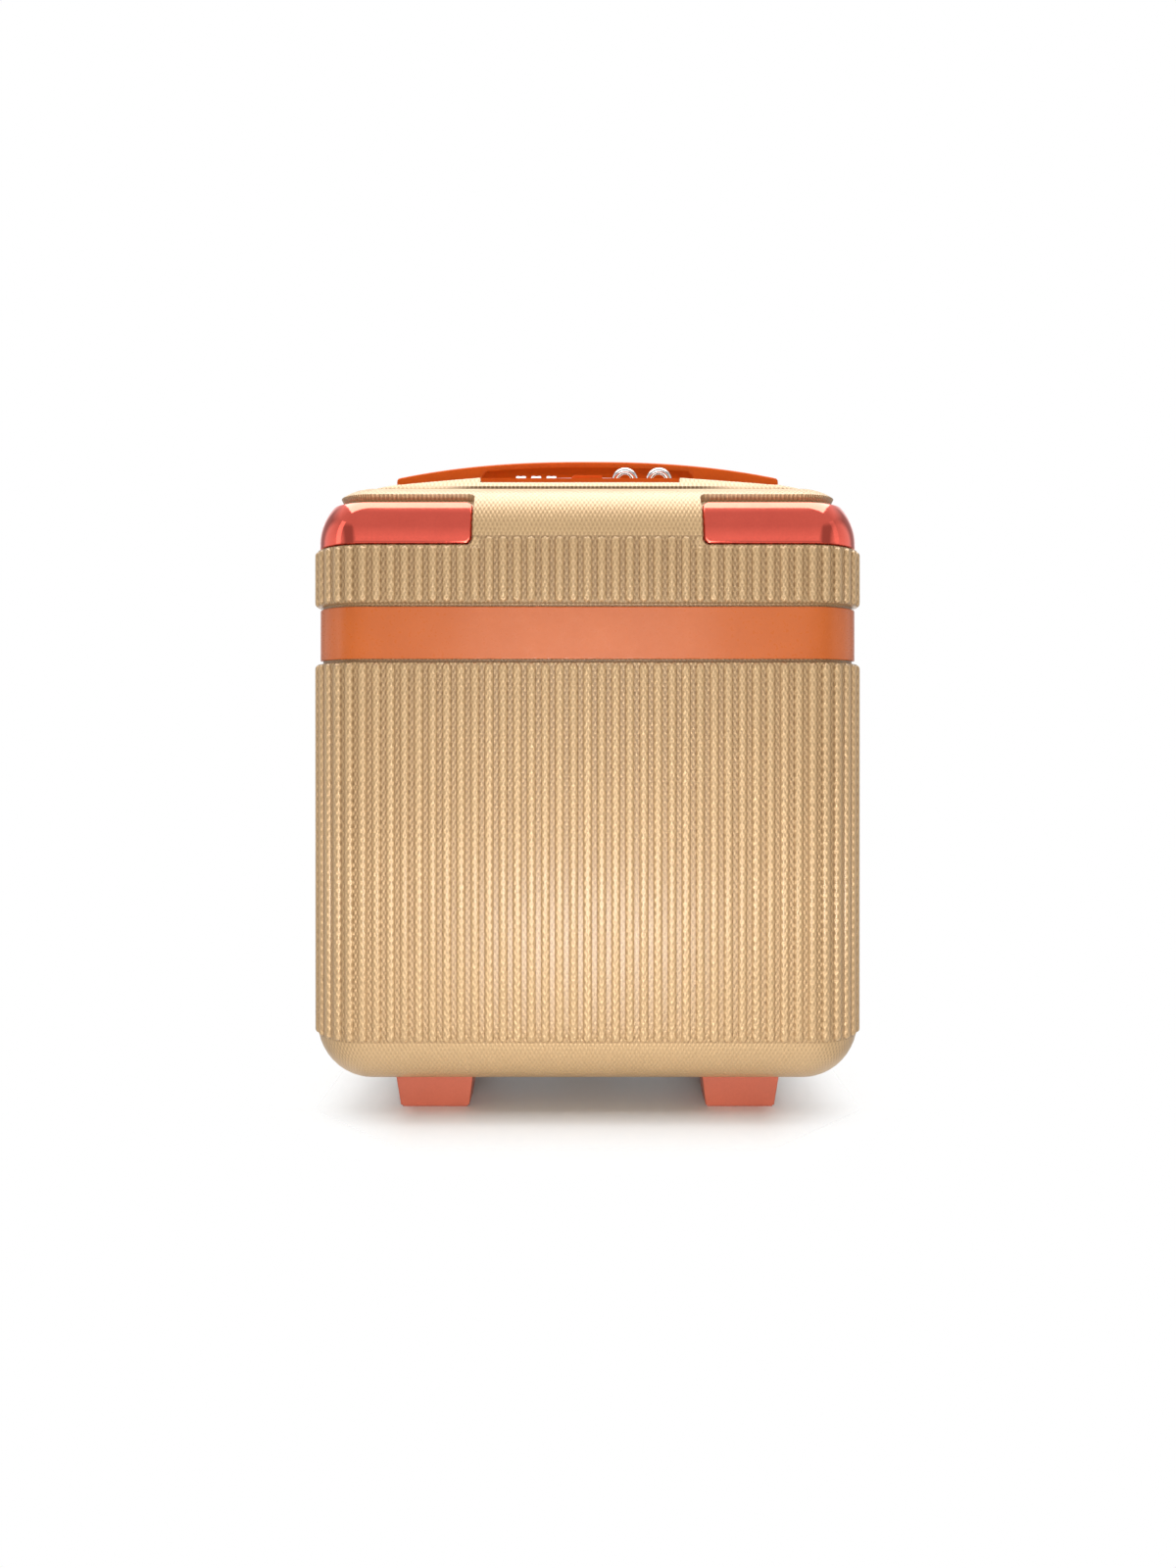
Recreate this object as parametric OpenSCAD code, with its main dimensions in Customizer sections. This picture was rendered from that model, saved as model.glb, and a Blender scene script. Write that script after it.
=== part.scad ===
// Hard-shell vanity case: two ribbed half shells on a bottom hinge, closed by a zip that runs over the top
// and down both sides, with a combination lock, a lifting strap handle, corner guards and an inlaid band.
// Millimetres, +Z up. The origin is on the floor under the middle of the case, and the front faces -Y.

/* [Case] */
// Width of the smooth shell
case_w = 301; // [260:1:360]
// Depth of both shells together, over the smooth shell
case_d = 162; // [150:1:200]
// Height of the shell, without feet and handle
shell_h = 328; // [300:1:380]
// Radius of every outer edge and corner
edge_r = 32; // [28:1:34]
// Wall thickness of the shells
wall = 2.5; // [2.2:0.1:3]
// Gap between the two shells' rims, where the zip lies
split_gap = 14; // [13.6:0.2:18]
// Gap between the shells' outer surface and the lining
lining_gap = 7.5; // [7:0.1:9]
// Thickness of the lining
lining_t = 1; // [0.8:0.1:1.5]

/* [Ribs] */
// Distance from one rib to the next, along the wall
rib_pitch = 7.5; // [6:0.1:10]
// Width of a rib at its root
rib_w = 4.9; // [3:0.1:5.4]
// Width of a rib's flat top
rib_top_w = 3.4; // [1.5:0.1:4.2]
// Height of the ribs over the smooth wall
rib_h = 1.5; // [0.8:0.1:2]
// Height of the ribs' lower ends over the shell's bottom
rib_start = 28.5; // [24:0.5:60]
// Depth below the shell's top of the upper ribs' ends
rib_stop = 32.5; // [30:0.5:40]

/* [Band] */
// Height of the groove's lower edge over the shell's bottom
groove_z = 229.5; // [180:0.5:236]
// Height of the groove that holds the band
groove_h = 31.5; // [20:0.5:34]
// Depth of the groove below the smooth wall
groove_depth = 3; // [2:0.1:3.4]
// Thickness of the band
band_t = 1.5; // [1:0.1:1.9]
// Gap round the band in its groove
band_gap = 1.7; // [0.5:0.1:3]
// Distance from the split plane to the groove's ends on the sides
groove_y = 17; // [16:0.5:24]

/* [Corner guards] */
// Distance from the middle of the case to a guard's inner end
guard_x = 62; // [50:1:90]
// Distance from the split plane to a guard's rear end
guard_y = 31; // [24:1:40]
// Height of a guard's lower edge under the shoulder's centre line
guard_below = 3.4; // [2:0.1:6]
// Height of a guard's upper edge over the shoulder's centre line
guard_above = 20.8; // [14:0.1:23]
// Depth of the guard's surface below the smooth shell
guard_sink = 1.2; // [0.5:0.1:1.6]
// Thickness of a guard
guard_t = 2.2; // [1.8:0.1:2.6]
// Free strip of recess above the guard
recess_strip = 4.7; // [1:0.1:6]
// Gap between a guard and the other edges of its recess
recess_gap = 0.6; // [0.2:0.1:1.5]

/* [Feet] */
// Height of the feet
foot_h = 18; // [16:0.5:30]
// Width of a foot where it meets the shell
foot_w = 43; // [30:1:50]
// Depth of a foot where it meets the shell
foot_d = 28; // [20:1:32]
// How much each side of a foot draws in towards the floor
foot_taper = 2.4; // [0:0.1:5]
// Distance from the middle of the case to a foot's middle
foot_x = 85.5; // [82:0.5:100]
// Distance from the split plane to a foot's middle
foot_y = 38; // [34:0.5:46]

/* [Hinges] */
// Distance from the middle of the case to a hinge's middle
hinge_x = 36; // [26:1:38]
// Length of a hinge
hinge_l = 40; // [30:1:44]
// Width of one hinge leaf, from the pin to its edge
leaf_w = 24; // [23:1:30]
// Thickness of a hinge leaf
leaf_t = 1.2; // [1:0.1:1.6]
// Radius of the hinge knuckles
knuckle_r = 2.6; // [2.4:0.1:3.4]
// Radius of the hinge pin
hinge_pin_r = 1.4; // [1:0.1:1.6]
// Radius of the hinge rivets
rivet_r = 1.6; // [1.2:0.1:2]

/* [Zip] */
// Radius of the piping along each rim
piping_r = 1.25; // [0.8:0.05:1.25]
// Thickness of the zip tape
tape_t = 0.6; // [0.4:0.1:0.8]
// Width of the tape that lies under each shell's wall
tape_hold = 7; // [5:0.5:8]
// Distance from one zip tooth to the next
tooth_pitch = 4; // [2:0.5:4]
// Width of a zip tooth, along the zip
tooth_w = 1.5; // [1:0.1:1.8]
// Thickness of the teeth, through the tape
tooth_t = 2.2; // [1.6:0.1:2.4]
// Reach of one row of teeth, from its cord to its tips
tooth_reach = 2.3; // [1.8:0.1:2.6]
// Length of a zip slider
slider_l = 11; // [9:0.5:14]
// Distance from the lock's right end to the right zip slider
slider_inset = 8.75; // [8:0.05:10]
// Distance between the two zip sliders
slider_spacing = 20.4; // [18.5:0.1:24]
// Width of a pull's ring
ring_w = 16; // [12:0.5:17]
// Height of a pull's ring
ring_h = 19; // [17:0.5:20]
// Radius of the wire of a pull's ring
ring_wire_r = 1.25; // [0.9:0.05:1.4]
// Forward lean of a pull's ring
ring_lean = 17; // [10:1:25]

/* [Lock] */
// Width of the lock's plate
lock_w = 111.5; // [108:0.5:114]
// Depth of the lock's plate, front to back
lock_d = 29; // [28:0.5:31]
// Thickness of the lock's plate
lock_t = 2.8; // [2:0.1:3.4]
// Place of the lock's middle, from the middle of the case
lock_x = -4.2; // [-6:0.1:-2]
// Distance from the lock's left end to the key cylinder
key_inset = 10.45; // [9.6:0.05:11.5]
// Distance from the lock's left end to the first dial
dial_inset = 21.95; // [21:0.05:23]
// Distance from the lock's left end to the release slider
release_inset = 59.05; // [57:0.05:61]
// Radius of the number dials
dial_r = 7.5; // [7:0.1:7.8]
// Width of a number dial
dial_w = 5.6; // [4:0.1:6]
// Distance from one dial to the next
dial_pitch = 8.7; // [8.2:0.1:10]
// Height of the dials over the plate's underside
dial_rise = 6.3; // [5:0.1:6.6]
// Radius of the dials' shaft
shaft_r = 1.1; // [0.8:0.1:1.1]
// Length of the release slider
release_l = 18.5; // [14:0.5:20]
// Travel of the release slider
release_travel = 4; // [2:0.5:5]
// Radius of the key cylinder
key_r = 3.6; // [3:0.1:4]

/* [Lock pad] */
// Height of the pad under the lock over the shell's top
pad_h = 4.5; // [3.5:0.1:6]
// Height of the pad's shoulders at the lock's ends, over the shell's top
dome_h = 7.5; // [6.5:0.1:7.8]
// Distance from the split plane to the pad's upper front edge
pad_front = 46.5; // [44:0.5:48]
// Run of the pad's front slope
pad_slope = 6.5; // [3:0.5:8]
// Gap between the pad and the rim
pad_setback = 8; // [6:0.5:10]
// Width of the pad's level shoulders beside the lock
dome_lip = 1.5; // [0.5:0.1:4]
// Distance from the middle of the case to the knees of the falling shoulders
knee_x = 106.5; // [100:0.5:110]
// Height of the knees over the shell's top
knee_h = 2.8; // [2:0.1:3.4]

/* [Handle] */
// Length of the handle
handle_l = 233; // [210:1:236]
// Width of the handle, front to back
handle_w = 28; // [22:1:30]
// Distance from the split plane to the handle's front face
handle_y = 6; // [5.8:0.1:9]
// Height of the handle's top over the shell's top
handle_rise = 29.7; // [28:0.1:34]
// Fall of the handle's top from its middle to the grip's ends
grip_fall = 2; // [0.5:0.1:4]
// Thickness of the grip in its middle
grip_t = 4.4; // [4:0.1:6]
// Half of the grip's free length
grip_half = 58; // [46:1:62]
// Power of the curve along which the handle's top falls to its ends
handle_curve = 2.35; // [2:0.05:2.5]
// Radius at the handle's upper end corners
handle_corner = 2.5; // [1:0.1:4]
// Lift of the handle when it is pulled
handle_lift = 6; // [4:0.5:6]
// Radius of the pins that hold the handle
handle_pin_r = 2; // [1.5:0.1:2.4]
// Height of the handle's seat on the rear shell over the shell's top
seat_h = 6; // [5:0.1:7]
// Gap between the handle's seat and the rear rim
seat_setback = 3; // [2:0.5:5]

/* [Hidden] */
$fn = 96;
run = 0.05;           // radial clearance of a running fit
seat = 0.3;           // gap where one piece rests close over another
rim = split_gap / 2;
top_z = foot_h + shell_h;
mid_z = foot_h + shell_h / 2;
shoulder_z = top_z - edge_r;
flat_x = case_w / 2 - edge_r;
flat_y = case_d / 2 - edge_r;
backing_t = 2;        // wall behind the groove and behind the guards
recess_in = guard_sink + guard_t;
rib_root = 0.5;       // how deep the ribs are rooted in the wall
screw_r = 1.5;
screw_head_r = 2.8;
screw_head_t = 1.4;
tape_z = wall + tape_t;
tooth_mid = wall + tape_t / 2;
web_t = 0.6;          // slider's web between the two rows of teeth
web_gap = 0.2;
tooth_tip = web_t / 2 + web_gap;
slider_w = split_gap - 4 * piping_r - 0.6;
slider_plate = 1.2;
cord_y = tooth_tip + tooth_reach / 2; // where the tape begins, between the two layers of the teeth's cord
cord_web = 0.4;       // web of the cord in front of the tape's edge
tooth_inset = 0.1;    // how far a tooth's faces lie below the cord's
stop_l = 4;           // length of a zip stop
teeth_z = foot_h + edge_r + stop_l + 2 * seat; // where the teeth begin, above the stops
bail_r = 1;
ear_t = 1.2;
ear_gap = 0.3;
ear_r = 1.9;
pull_w = 3.8;         // width of the pull between the slider's ears
tongue_tip = 22.5;    // distance from the split plane to the pulls' tips
bracket_plate_t = 1.5;
lining_y = rim + tape_hold - 1.7;
bail_y = 1.5;         // pull's barrel, forward of the split plane
bail_z = top_z + 2;
pad_top = top_z + pad_h;
dome_top = top_z + dome_h;
plate_top = pad_top + lock_t;
lock_case_t = 1.4;
lock_end_lip = 4.5;   // reach of the plate over the case under it, at each end
lock_side_lip = 1.25; // the same at the front and the back
lock_case_w = lock_w - 2 * lock_end_lip;
lock_case_d = lock_d - 2 * lock_side_lip;
lock_left = lock_x - lock_w / 2;
lock_right = lock_x + lock_w / 2;
slider_left_x = lock_right - slider_inset - slider_spacing;
lock_case_floor = top_z - 5.8;
lock_mid_y = pad_front - lock_d / 2;
dial_y = pad_front - 11; // the dials' shaft lies 11 behind the plate's front edge
dial_z = pad_top + dial_rise - dial_r;
dial_x = lock_left + dial_inset;
dial_count = 3;
release_x = lock_left + release_inset;
release_w = 9;
release_y = pad_front - 8;
neck_l = 10;          // slider's neck through the plate
neck_w = 5;
key_x = lock_left + key_inset;
key_y = 27;
rear_screws = [40, 64]; // distances from the lock's left end to its two rear screws
cheek_w = 6;          // width of the cheeks that carry the dials' shaft
shaft_from = dial_x - dial_w / 2 - seat;
shaft_l = (dial_count - 1) * dial_pitch + dial_w + 2 * seat;
lock_floor_t = 1.2;
latch_z = pad_top - 4;
latch_t = 1.5;
handle_top = top_z + handle_rise;
seat_top = top_z + seat_h;
seat_edge = 114;      // distance from the middle to the ends of the seat's level part
bracket_x = 84;
bracket_w = 28;
bracket_d = 13;
bracket_screw_l = 8;  // how deep the screws go into a bracket
foot_screw_l = 10;    // how deep the screws go into a foot
bracket_y = handle_y + handle_w / 2;
pin_z = seat_top + 4;
bracket_h = handle_lift + 8;
knuckle_gap = 0.2;
knuckles = 5;
knuckle_drop = 0.3;
pivot_z = foot_h - knuckle_r - knuckle_drop;
rivet_head_r = 1.8 * rivet_r;
rivet_head_t = 1;
corner_run = edge_r * PI / 2;
half_run = flat_x + corner_run + flat_y - rim; // along the wall from the middle of the front to the rim
rib_count = floor((half_run - rib_w) / rib_pitch);

// A section in (distance from the corner's centre, forward distance) goes round the case's upright outline.
// The outline lies in X and Z, and the forward distance runs along -Y.
module around() {
    translate([0, 0, mid_z])
        rotate([90, 0, 0])
            for (side = [0:3]) {
                long = side % 2 == 0 ? shell_h - 2 * edge_r : case_w - 2 * edge_r;
                reach = side % 2 == 0 ? flat_x : shell_h / 2 - edge_r;
                rotate(90 * side)
                    translate([reach, long / 2, 0]) {
                        rotate([90, 0, 0])
                            linear_extrude(long)
                                children();
                        rotate_extrude(angle = 90)
                            children();
                    }
            }
}

// A section in (distance from the corner's centre, height) goes round one front corner in plan,
// from x = from_x on the front to y = -to_y on the right side.
module round_corner(from_x, to_y) {
    translate([flat_x, -flat_y, 0])
        rotate(-90) {
            rotate([90, 0, 0])
                linear_extrude(flat_x - from_x)
                    children();
            rotate_extrude(angle = 90)
                children();
        }
    translate([flat_x, -to_y, 0])
        rotate([90, 0, 0])
            linear_extrude(flat_y - to_y)
                children();
}

// The same section round the front and both sides, back to y = -to_y.
module round_front(to_y) {
    for (side = [0, 1])
        mirror([side, 0, 0])
            round_corner(0, to_y)
                children();
}

// Layer between two depths below the smooth surface, from a forward distance round to the front face.
module layer_section(outer, inner, from_y) {
    translate([edge_r - inner, from_y])
        square([inner - outer, flat_y - from_y]);
    translate([0, flat_y])
        intersection() {
            difference() {
                circle(edge_r - outer);
                circle(edge_r - inner);
            }
            square(edge_r);
        }
}

module layer(outer, inner, from_y) {
    around()
        layer_section(outer, inner, from_y);
    translate([-flat_x, outer - case_d / 2, foot_h + edge_r])
        cube([2 * flat_x, inner - outer, shell_h - 2 * edge_r]);
}

// Point of the plan outline at a distance along the wall from the middle of the front, and an offset outwards.
function wall_point(s, out) =
    let (d = abs(s), turn = (d - flat_x) / corner_run * 90, side = s < 0 ? -1 : 1)
    d <= flat_x ? [s, -case_d / 2 - out]
    : d <= flat_x + corner_run ? [side * (flat_x + (edge_r + out) * sin(turn)), -flat_y - (edge_r + out) * cos(turn)]
    : [side * (case_w / 2 + out), d - flat_x - corner_run - flat_y];

// Upright ribs round the front and both sides, between two heights.
module ribs(from_z, to_z) {
    rib_section = [
        [-rib_w / 2, -rib_root], [-rib_top_w / 2, rib_h], [rib_top_w / 2, rib_h], [rib_w / 2, -rib_root],
    ];
    rib_sides = [
        for (k = [-rib_count:rib_count], p = rib_section) wall_point(k * rib_pitch + p[0], p[1])
    ];
    rib_backs = [
        for (k = [rib_count:-1:-rib_count]) wall_point(k * rib_pitch, -2 * rib_root)
    ];
    translate([0, 0, from_z])
        linear_extrude(to_z - from_z)
            polygon(concat(rib_sides, rib_backs));
}

// Section of the wall zone behind a guard: from a depth outwards, between two heights about the shoulder's centre.
module shoulder_zone(depth, below, above, outward) {
    translate([edge_r - depth, shoulder_z - below])
        square([depth + outward, below]);
    translate([0, shoulder_z])
        difference() {
            translate([1, 0])
                square([edge_r + outward - 1, above]);
            circle(edge_r - depth);
        }
}

// Section of a curved plate between two depths, from below to above the shoulder's centre.
module shoulder_plate(outer, inner, below, above) {
    translate([edge_r - inner, shoulder_z - below])
        square([inner - outer, below]);
    translate([0, shoulder_z])
        intersection() {
            difference() {
                circle(edge_r - outer);
                circle(edge_r - inner);
            }
            square([edge_r, above]);
        }
}

module guard_screw_places(depth) {
    for (side = [0, 1])
        mirror([side, 0, 0]) {
            translate([(guard_x + flat_x) / 2, depth - case_d / 2, shoulder_z])
                rotate([90, 0, 0])
                    children();
            translate([case_w / 2 - depth, -(guard_y + flat_y) / 2, shoulder_z])
                rotate([0, 90, 0])
                    children();
        }
}

module foot_screw_places() {
    for (side = [-1, 1], step = [-1, 1])
        translate([side * foot_x + step * foot_w / 4, -foot_y, 0])
            children();
}

module rivet_places() {
    for (side = [-1, 1], step = [-1, 0, 1])
        translate([side * hinge_x + step * hinge_l / 3, -rim - tape_hold - rivet_head_r - seat, 0])
            children();
}

// One half shell with its ribs, groove, recesses and holes, before its pad is added.
module half_shell() {
    difference() {
        union() {
            layer(0, wall, rim);
            ribs(foot_h + rib_start, foot_h + groove_z);
            ribs(foot_h + groove_z + groove_h, top_z - rib_stop);
            round_front(groove_y - backing_t)
                translate([edge_r - groove_depth - backing_t, foot_h + groove_z - backing_t])
                    square([groove_depth + backing_t - rib_root, groove_h + 2 * backing_t]);
            for (side = [0, 1])
                mirror([side, 0, 0])
                    round_corner(guard_x - recess_gap - backing_t, guard_y - recess_gap - backing_t)
                        shoulder_plate(rib_root, recess_in + backing_t, guard_below + recess_gap + backing_t,
                            guard_above + recess_strip + backing_t);
        }
        round_front(groove_y)
            translate([edge_r - groove_depth, foot_h + groove_z])
                square([groove_depth + 2 * rib_h, groove_h]);
        for (side = [0, 1])
            mirror([side, 0, 0])
                round_corner(guard_x - recess_gap, guard_y - recess_gap)
                    shoulder_zone(recess_in, guard_below + recess_gap, guard_above + recess_strip, 2 * rib_h);
        guard_screw_places(recess_in + backing_t)
            cylinder(r = screw_r, h = 3 * backing_t, center = true);
        foot_screw_places()
            translate([0, 0, foot_h])
                cylinder(r = screw_r, h = 3 * wall, center = true);
        rivet_places()
            translate([0, 0, foot_h])
                cylinder(r = rivet_r, h = 3 * wall, center = true);
    }
}

// Outline of the lock's pad in X and Z, raised by a distance.
module pad_outline(lift) {
    left = lock_left - seat;
    right = lock_right + seat;
    translate([0, top_z + lift])
        polygon([
            [-flat_x, -wall], [-flat_x, 0], [-knee_x, knee_h], [left - dome_lip, dome_h], [left, dome_h],
            [left, pad_h], [right, pad_h], [right, dome_h], [right + dome_lip, dome_h], [knee_x, knee_h],
            [flat_x, 0], [flat_x, -wall],
        ]);
}

// Block with a given front outline, whose front slopes back and whose rear edge is at y = -rear_y.
module pad_block(lift, inset, rear_y) {
    front = pad_front - inset;
    foot = pad_front + pad_slope - inset;
    back = rear_y + inset;
    intersection() {
        rotate([90, 0, 0])
            linear_extrude(case_d / 2)
                children();
        translate([-case_w / 2, 0, top_z + lift])
            rotate([90, 0, 90])
                linear_extrude(case_w)
                    polygon([
                        [-foot, -wall], [-foot, 0], [-front, dome_h], [-back, dome_h], [-back, -wall],
                    ]);
    }
}

// Half shell with a hollow pad on its top, whose outline is drawn by the first child and whose cavity by the second.
module padded_shell(rear_y) {
    difference() {
        half_shell();
        pad_block(-wall, wall, rear_y)
            children(1);
    }
    difference() {
        pad_block(0, 0, rear_y)
            children(0);
        pad_block(-wall, wall, rear_y)
            children(1);
        translate([-case_w / 2, -case_d / 2, top_z - 2 * wall])
            cube([case_w, case_d / 2, 1.5 * wall]);
    }
}

module front_shell() {
    color("burlywood")
        difference() {
            padded_shell(rim + pad_setback) {
                pad_outline(0);
                pad_outline(-wall);
            }
            translate([lock_x - lock_case_w / 2 - seat, -lock_mid_y - lock_case_d / 2 - seat, top_z - 2 * wall])
                cube([lock_case_w + 2 * seat, lock_case_d + 2 * seat, 2 * wall + dome_h]);
        }
}

module seat_outline(lift) {
    translate([0, top_z + lift])
        polygon([
            [-flat_x, -wall], [-flat_x, 0], [-seat_edge, seat_h], [seat_edge, seat_h], [flat_x, 0],
            [flat_x, -wall],
        ]);
}

module bracket_places() {
    for (side = [-1, 1])
        translate([side * bracket_x, 0, 0])
            children();
}

module bracket_screw_places() {
    for (step = [-1, 1])
        translate([step * bracket_w * 0.32, bracket_y, 0])
            children();
}

module rear_shell() {
    color("burlywood")
        difference() {
            mirror([0, 1, 0])
                padded_shell(rim + seat_setback) {
                    seat_outline(0);
                    seat_outline(-wall);
                }
            bracket_places()
                bracket_screw_places()
                    translate([0, 0, seat_top])
                        cylinder(r = screw_r, h = 3 * wall, center = true);
        }
}

module band() {
    color("chocolate")
        round_front(groove_y + band_gap)
            translate([edge_r - groove_depth, foot_h + groove_z + band_gap])
                square([band_t, groove_h - 2 * band_gap]);
}

module guard() {
    color("firebrick")
        difference() {
            round_corner(guard_x, guard_y)
                shoulder_plate(guard_sink, recess_in, guard_below, guard_above);
            guard_screw_places(recess_in)
                cylinder(r = screw_r, h = 1.4 * guard_t, center = true);
        }
}

// Screws from inside the shell, whose flat heads stand just off the curved wall behind the guards.
module guard_screws() {
    curve_r = edge_r - recess_in - backing_t;
    head_gap = curve_r - sqrt(pow(curve_r, 2) - pow(screw_head_r, 2)) + run;
    color("silver")
        guard_screw_places(recess_in + backing_t) {
            translate([0, 0, -head_gap - screw_head_t])
                cylinder(r = screw_head_r, h = screw_head_t);
            translate([0, 0, -head_gap - screw_head_t / 2])
                cylinder(r = screw_r, h = head_gap + screw_head_t / 2 + backing_t + 0.7 * guard_t);
        }
}

// One row of a pair of feet, drawn in towards the floor on all four sides.
module feet() {
    low_w = foot_w - 2 * foot_taper;
    low_d = foot_d - 2 * foot_taper;
    color("coral")
        difference() {
            for (side = [-1, 1])
                translate([side * foot_x, -foot_y, 0])
                    intersection() {
                        rotate([90, 0, 0])
                            linear_extrude(foot_d, center = true)
                                polygon([
                                    [-low_w / 2, 0], [low_w / 2, 0], [foot_w / 2, foot_h], [-foot_w / 2, foot_h],
                                ]);
                        rotate([90, 0, 90])
                            linear_extrude(foot_w, center = true)
                                polygon([
                                    [-low_d / 2, 0], [low_d / 2, 0], [foot_d / 2, foot_h], [-foot_d / 2, foot_h],
                                ]);
                    }
            foot_screw_places()
                translate([0, 0, foot_h - foot_screw_l])
                    cylinder(r = screw_r, h = 2 * foot_screw_l);
        }
}

module foot_screws() {
    color("silver")
        foot_screw_places() {
            translate([0, 0, foot_h + wall])
                cylinder(r = screw_head_r, h = screw_head_t);
            translate([0, 0, foot_h - foot_screw_l])
                cylinder(r = screw_r, h = foot_screw_l + wall);
        }
}

module piping() {
    color("chocolate")
        around()
            translate([edge_r - piping_r, rim - piping_r])
                circle(piping_r, $fn = 24);
}

module zip_tape() {
    color("chocolate")
        around()
            translate([edge_r - tape_z, cord_y])
                square([tape_t, rim + tape_hold - cord_y]);
}

// The section of around() over the top and down both sides, as far as a height.
module over_top(to_z) {
    translate([0, 0, shoulder_z])
        rotate([90, 0, 0]) {
            for (side = [0, 1])
                mirror([side, 0, 0])
                    translate([flat_x, 0, 0]) {
                        rotate([90, 0, 0])
                            linear_extrude(shoulder_z - to_z)
                                children();
                        rotate_extrude(angle = 90)
                            children();
                    }
            translate([-flat_x, 0, 0])
                rotate([90, 0, 90])
                    linear_extrude(2 * flat_x)
                        children();
        }
}

// Straight row of teeth with their tips towards the split plane, joined by a strip inside the cord's web.
module comb(length) {
    count = floor(length / tooth_pitch) - 1;
    first = (length - (count - 1) * tooth_pitch) / 2;
    last = length - first;
    strip = cord_y - cord_web / 2;
    tips = [
        for (k = [0:count - 1], p = [[-1, strip], [-1, tooth_tip], [1, tooth_tip], [1, strip]])
            [first + k * tooth_pitch + p[0] * tooth_w / 2, p[1]]
    ];
    mirror([0, 1, 0])
        linear_extrude(tooth_t - 2 * tooth_inset)
            polygon(concat(tips, [
                [last + tooth_w / 2, strip + cord_web / 4], [first - tooth_w / 2, strip + cord_web / 4],
            ]));
}

// Cord over and under the tape's edge, over the top and down both sides, with the teeth along it.
module zip_teeth() {
    tooth_in = tooth_mid + tooth_t / 2;
    tooth_low = tooth_in - tooth_inset;
    tooth_high = tooth_mid - tooth_t / 2 + tooth_inset;
    corner_teeth = floor(PI / 2 * (edge_r - tooth_mid) / tooth_pitch);
    color("saddlebrown") {
        over_top(teeth_z)
            difference() {
                translate([edge_r - tooth_in, cord_y - cord_web])
                    square([tooth_t, tooth_reach / 2 + cord_web]);
                translate([edge_r - tape_z, cord_y])
                    square([tape_t, tooth_reach]);
            }
        translate([-flat_x, 0, top_z - tooth_low])
            comb(2 * flat_x);
        for (side = [0, 1])
            mirror([side, 0, 0]) {
                translate([case_w / 2 - tooth_high, 0, teeth_z])
                    rotate([0, -90, 0])
                        comb(shoulder_z - teeth_z);
                translate([flat_x, 0, shoulder_z])
                    rotate([90, 0, 0])
                        for (k = [0:corner_teeth - 1])
                            rotate((k + 0.5) * 90 / corner_teeth)
                                translate([edge_r - tooth_low, -tooth_w / 2, tooth_tip])
                                    cube([tooth_t - 2 * tooth_inset, tooth_w, cord_y - cord_web / 2 - tooth_tip]);
            }
    }
}

// Stops under the ends of the two rows of teeth, one on each side, clasping the tape's edge.
module zip_stops() {
    color("silver")
        for (side = [-1, 1])
            translate([side * (case_w / 2 - tooth_mid), -cord_y, teeth_z - seat - stop_l / 2])
                difference() {
                    cube([tooth_t, tooth_reach, stop_l], center = true);
                    translate([0, -tooth_reach / 2, 0])
                        cube([tape_t, tooth_reach, 2 * stop_l], center = true);
                }
}

// Fabric bag inside each half, on the walls and the front, with a return to the tape at the rim.
module lining() {
    color("antiquewhite") {
        layer(lining_gap, lining_gap + lining_t, lining_y);
        around()
            translate([edge_r - lining_gap - lining_t, lining_y])
                square([lining_gap + lining_t - tape_z, lining_t]);
    }
}

// One side of both hinges: plates under the shell with every second knuckle.
module hinge_leaves(first, bore) {
    knuckle_l = hinge_l / knuckles;
    plate_y = knuckle_r + 2 * seat;
    color("silver")
        difference() {
            for (side = [-1, 1])
                translate([side * hinge_x - hinge_l / 2, 0, 0]) {
                    translate([0, -leaf_w, foot_h - leaf_t])
                        cube([hinge_l, leaf_w - plate_y, leaf_t]);
                    for (k = [first:2:knuckles - 1])
                        translate([k * knuckle_l + knuckle_gap / 2, 0, 0]) {
                            translate([0, -leaf_w / 2, foot_h - leaf_t])
                                cube([knuckle_l - knuckle_gap, leaf_w / 2, leaf_t]);
                            translate([0, 0, pivot_z])
                                rotate([0, 90, 0])
                                    cylinder(r = knuckle_r, h = knuckle_l - knuckle_gap);
                        }
                }
            translate([-case_w / 2, 0, pivot_z])
                rotate([0, 90, 0])
                    cylinder(r = bore, h = case_w);
            rivet_places()
                translate([0, 0, foot_h])
                    cylinder(r = rivet_r, h = 4 * leaf_t, center = true);
        }
}

module hinge_rivets() {
    color("silver")
        rivet_places() {
            translate([0, 0, foot_h - leaf_t])
                cylinder(r = rivet_r, h = leaf_t + wall);
            for (low = [foot_h - leaf_t - rivet_head_t, foot_h + wall])
                translate([0, 0, low])
                    cylinder(r = rivet_head_r, h = rivet_head_t);
        }
}

module hinge_pins() {
    color("silver")
        for (side = [-1, 1])
            translate([side * hinge_x - hinge_l / 2, 0, pivot_z])
                rotate([0, 90, 0])
                    cylinder(r = hinge_pin_r, h = hinge_l);
}

module lock_screw_places() {
    inset = lock_case_t + 0.75 * screw_head_r;
    for (side = [-1, 1])
        translate([lock_x + side * (lock_case_w / 2 - inset), -lock_mid_y - lock_case_d / 2 + inset, 0])
            children();
    for (x = rear_screws)
        translate([lock_left + x, -lock_mid_y + lock_case_d / 2 - inset, 0])
            children();
}

module dial_places() {
    for (k = [0:dial_count - 1])
        translate([dial_x + k * dial_pitch, -dial_y, dial_z])
            children();
}

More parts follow.
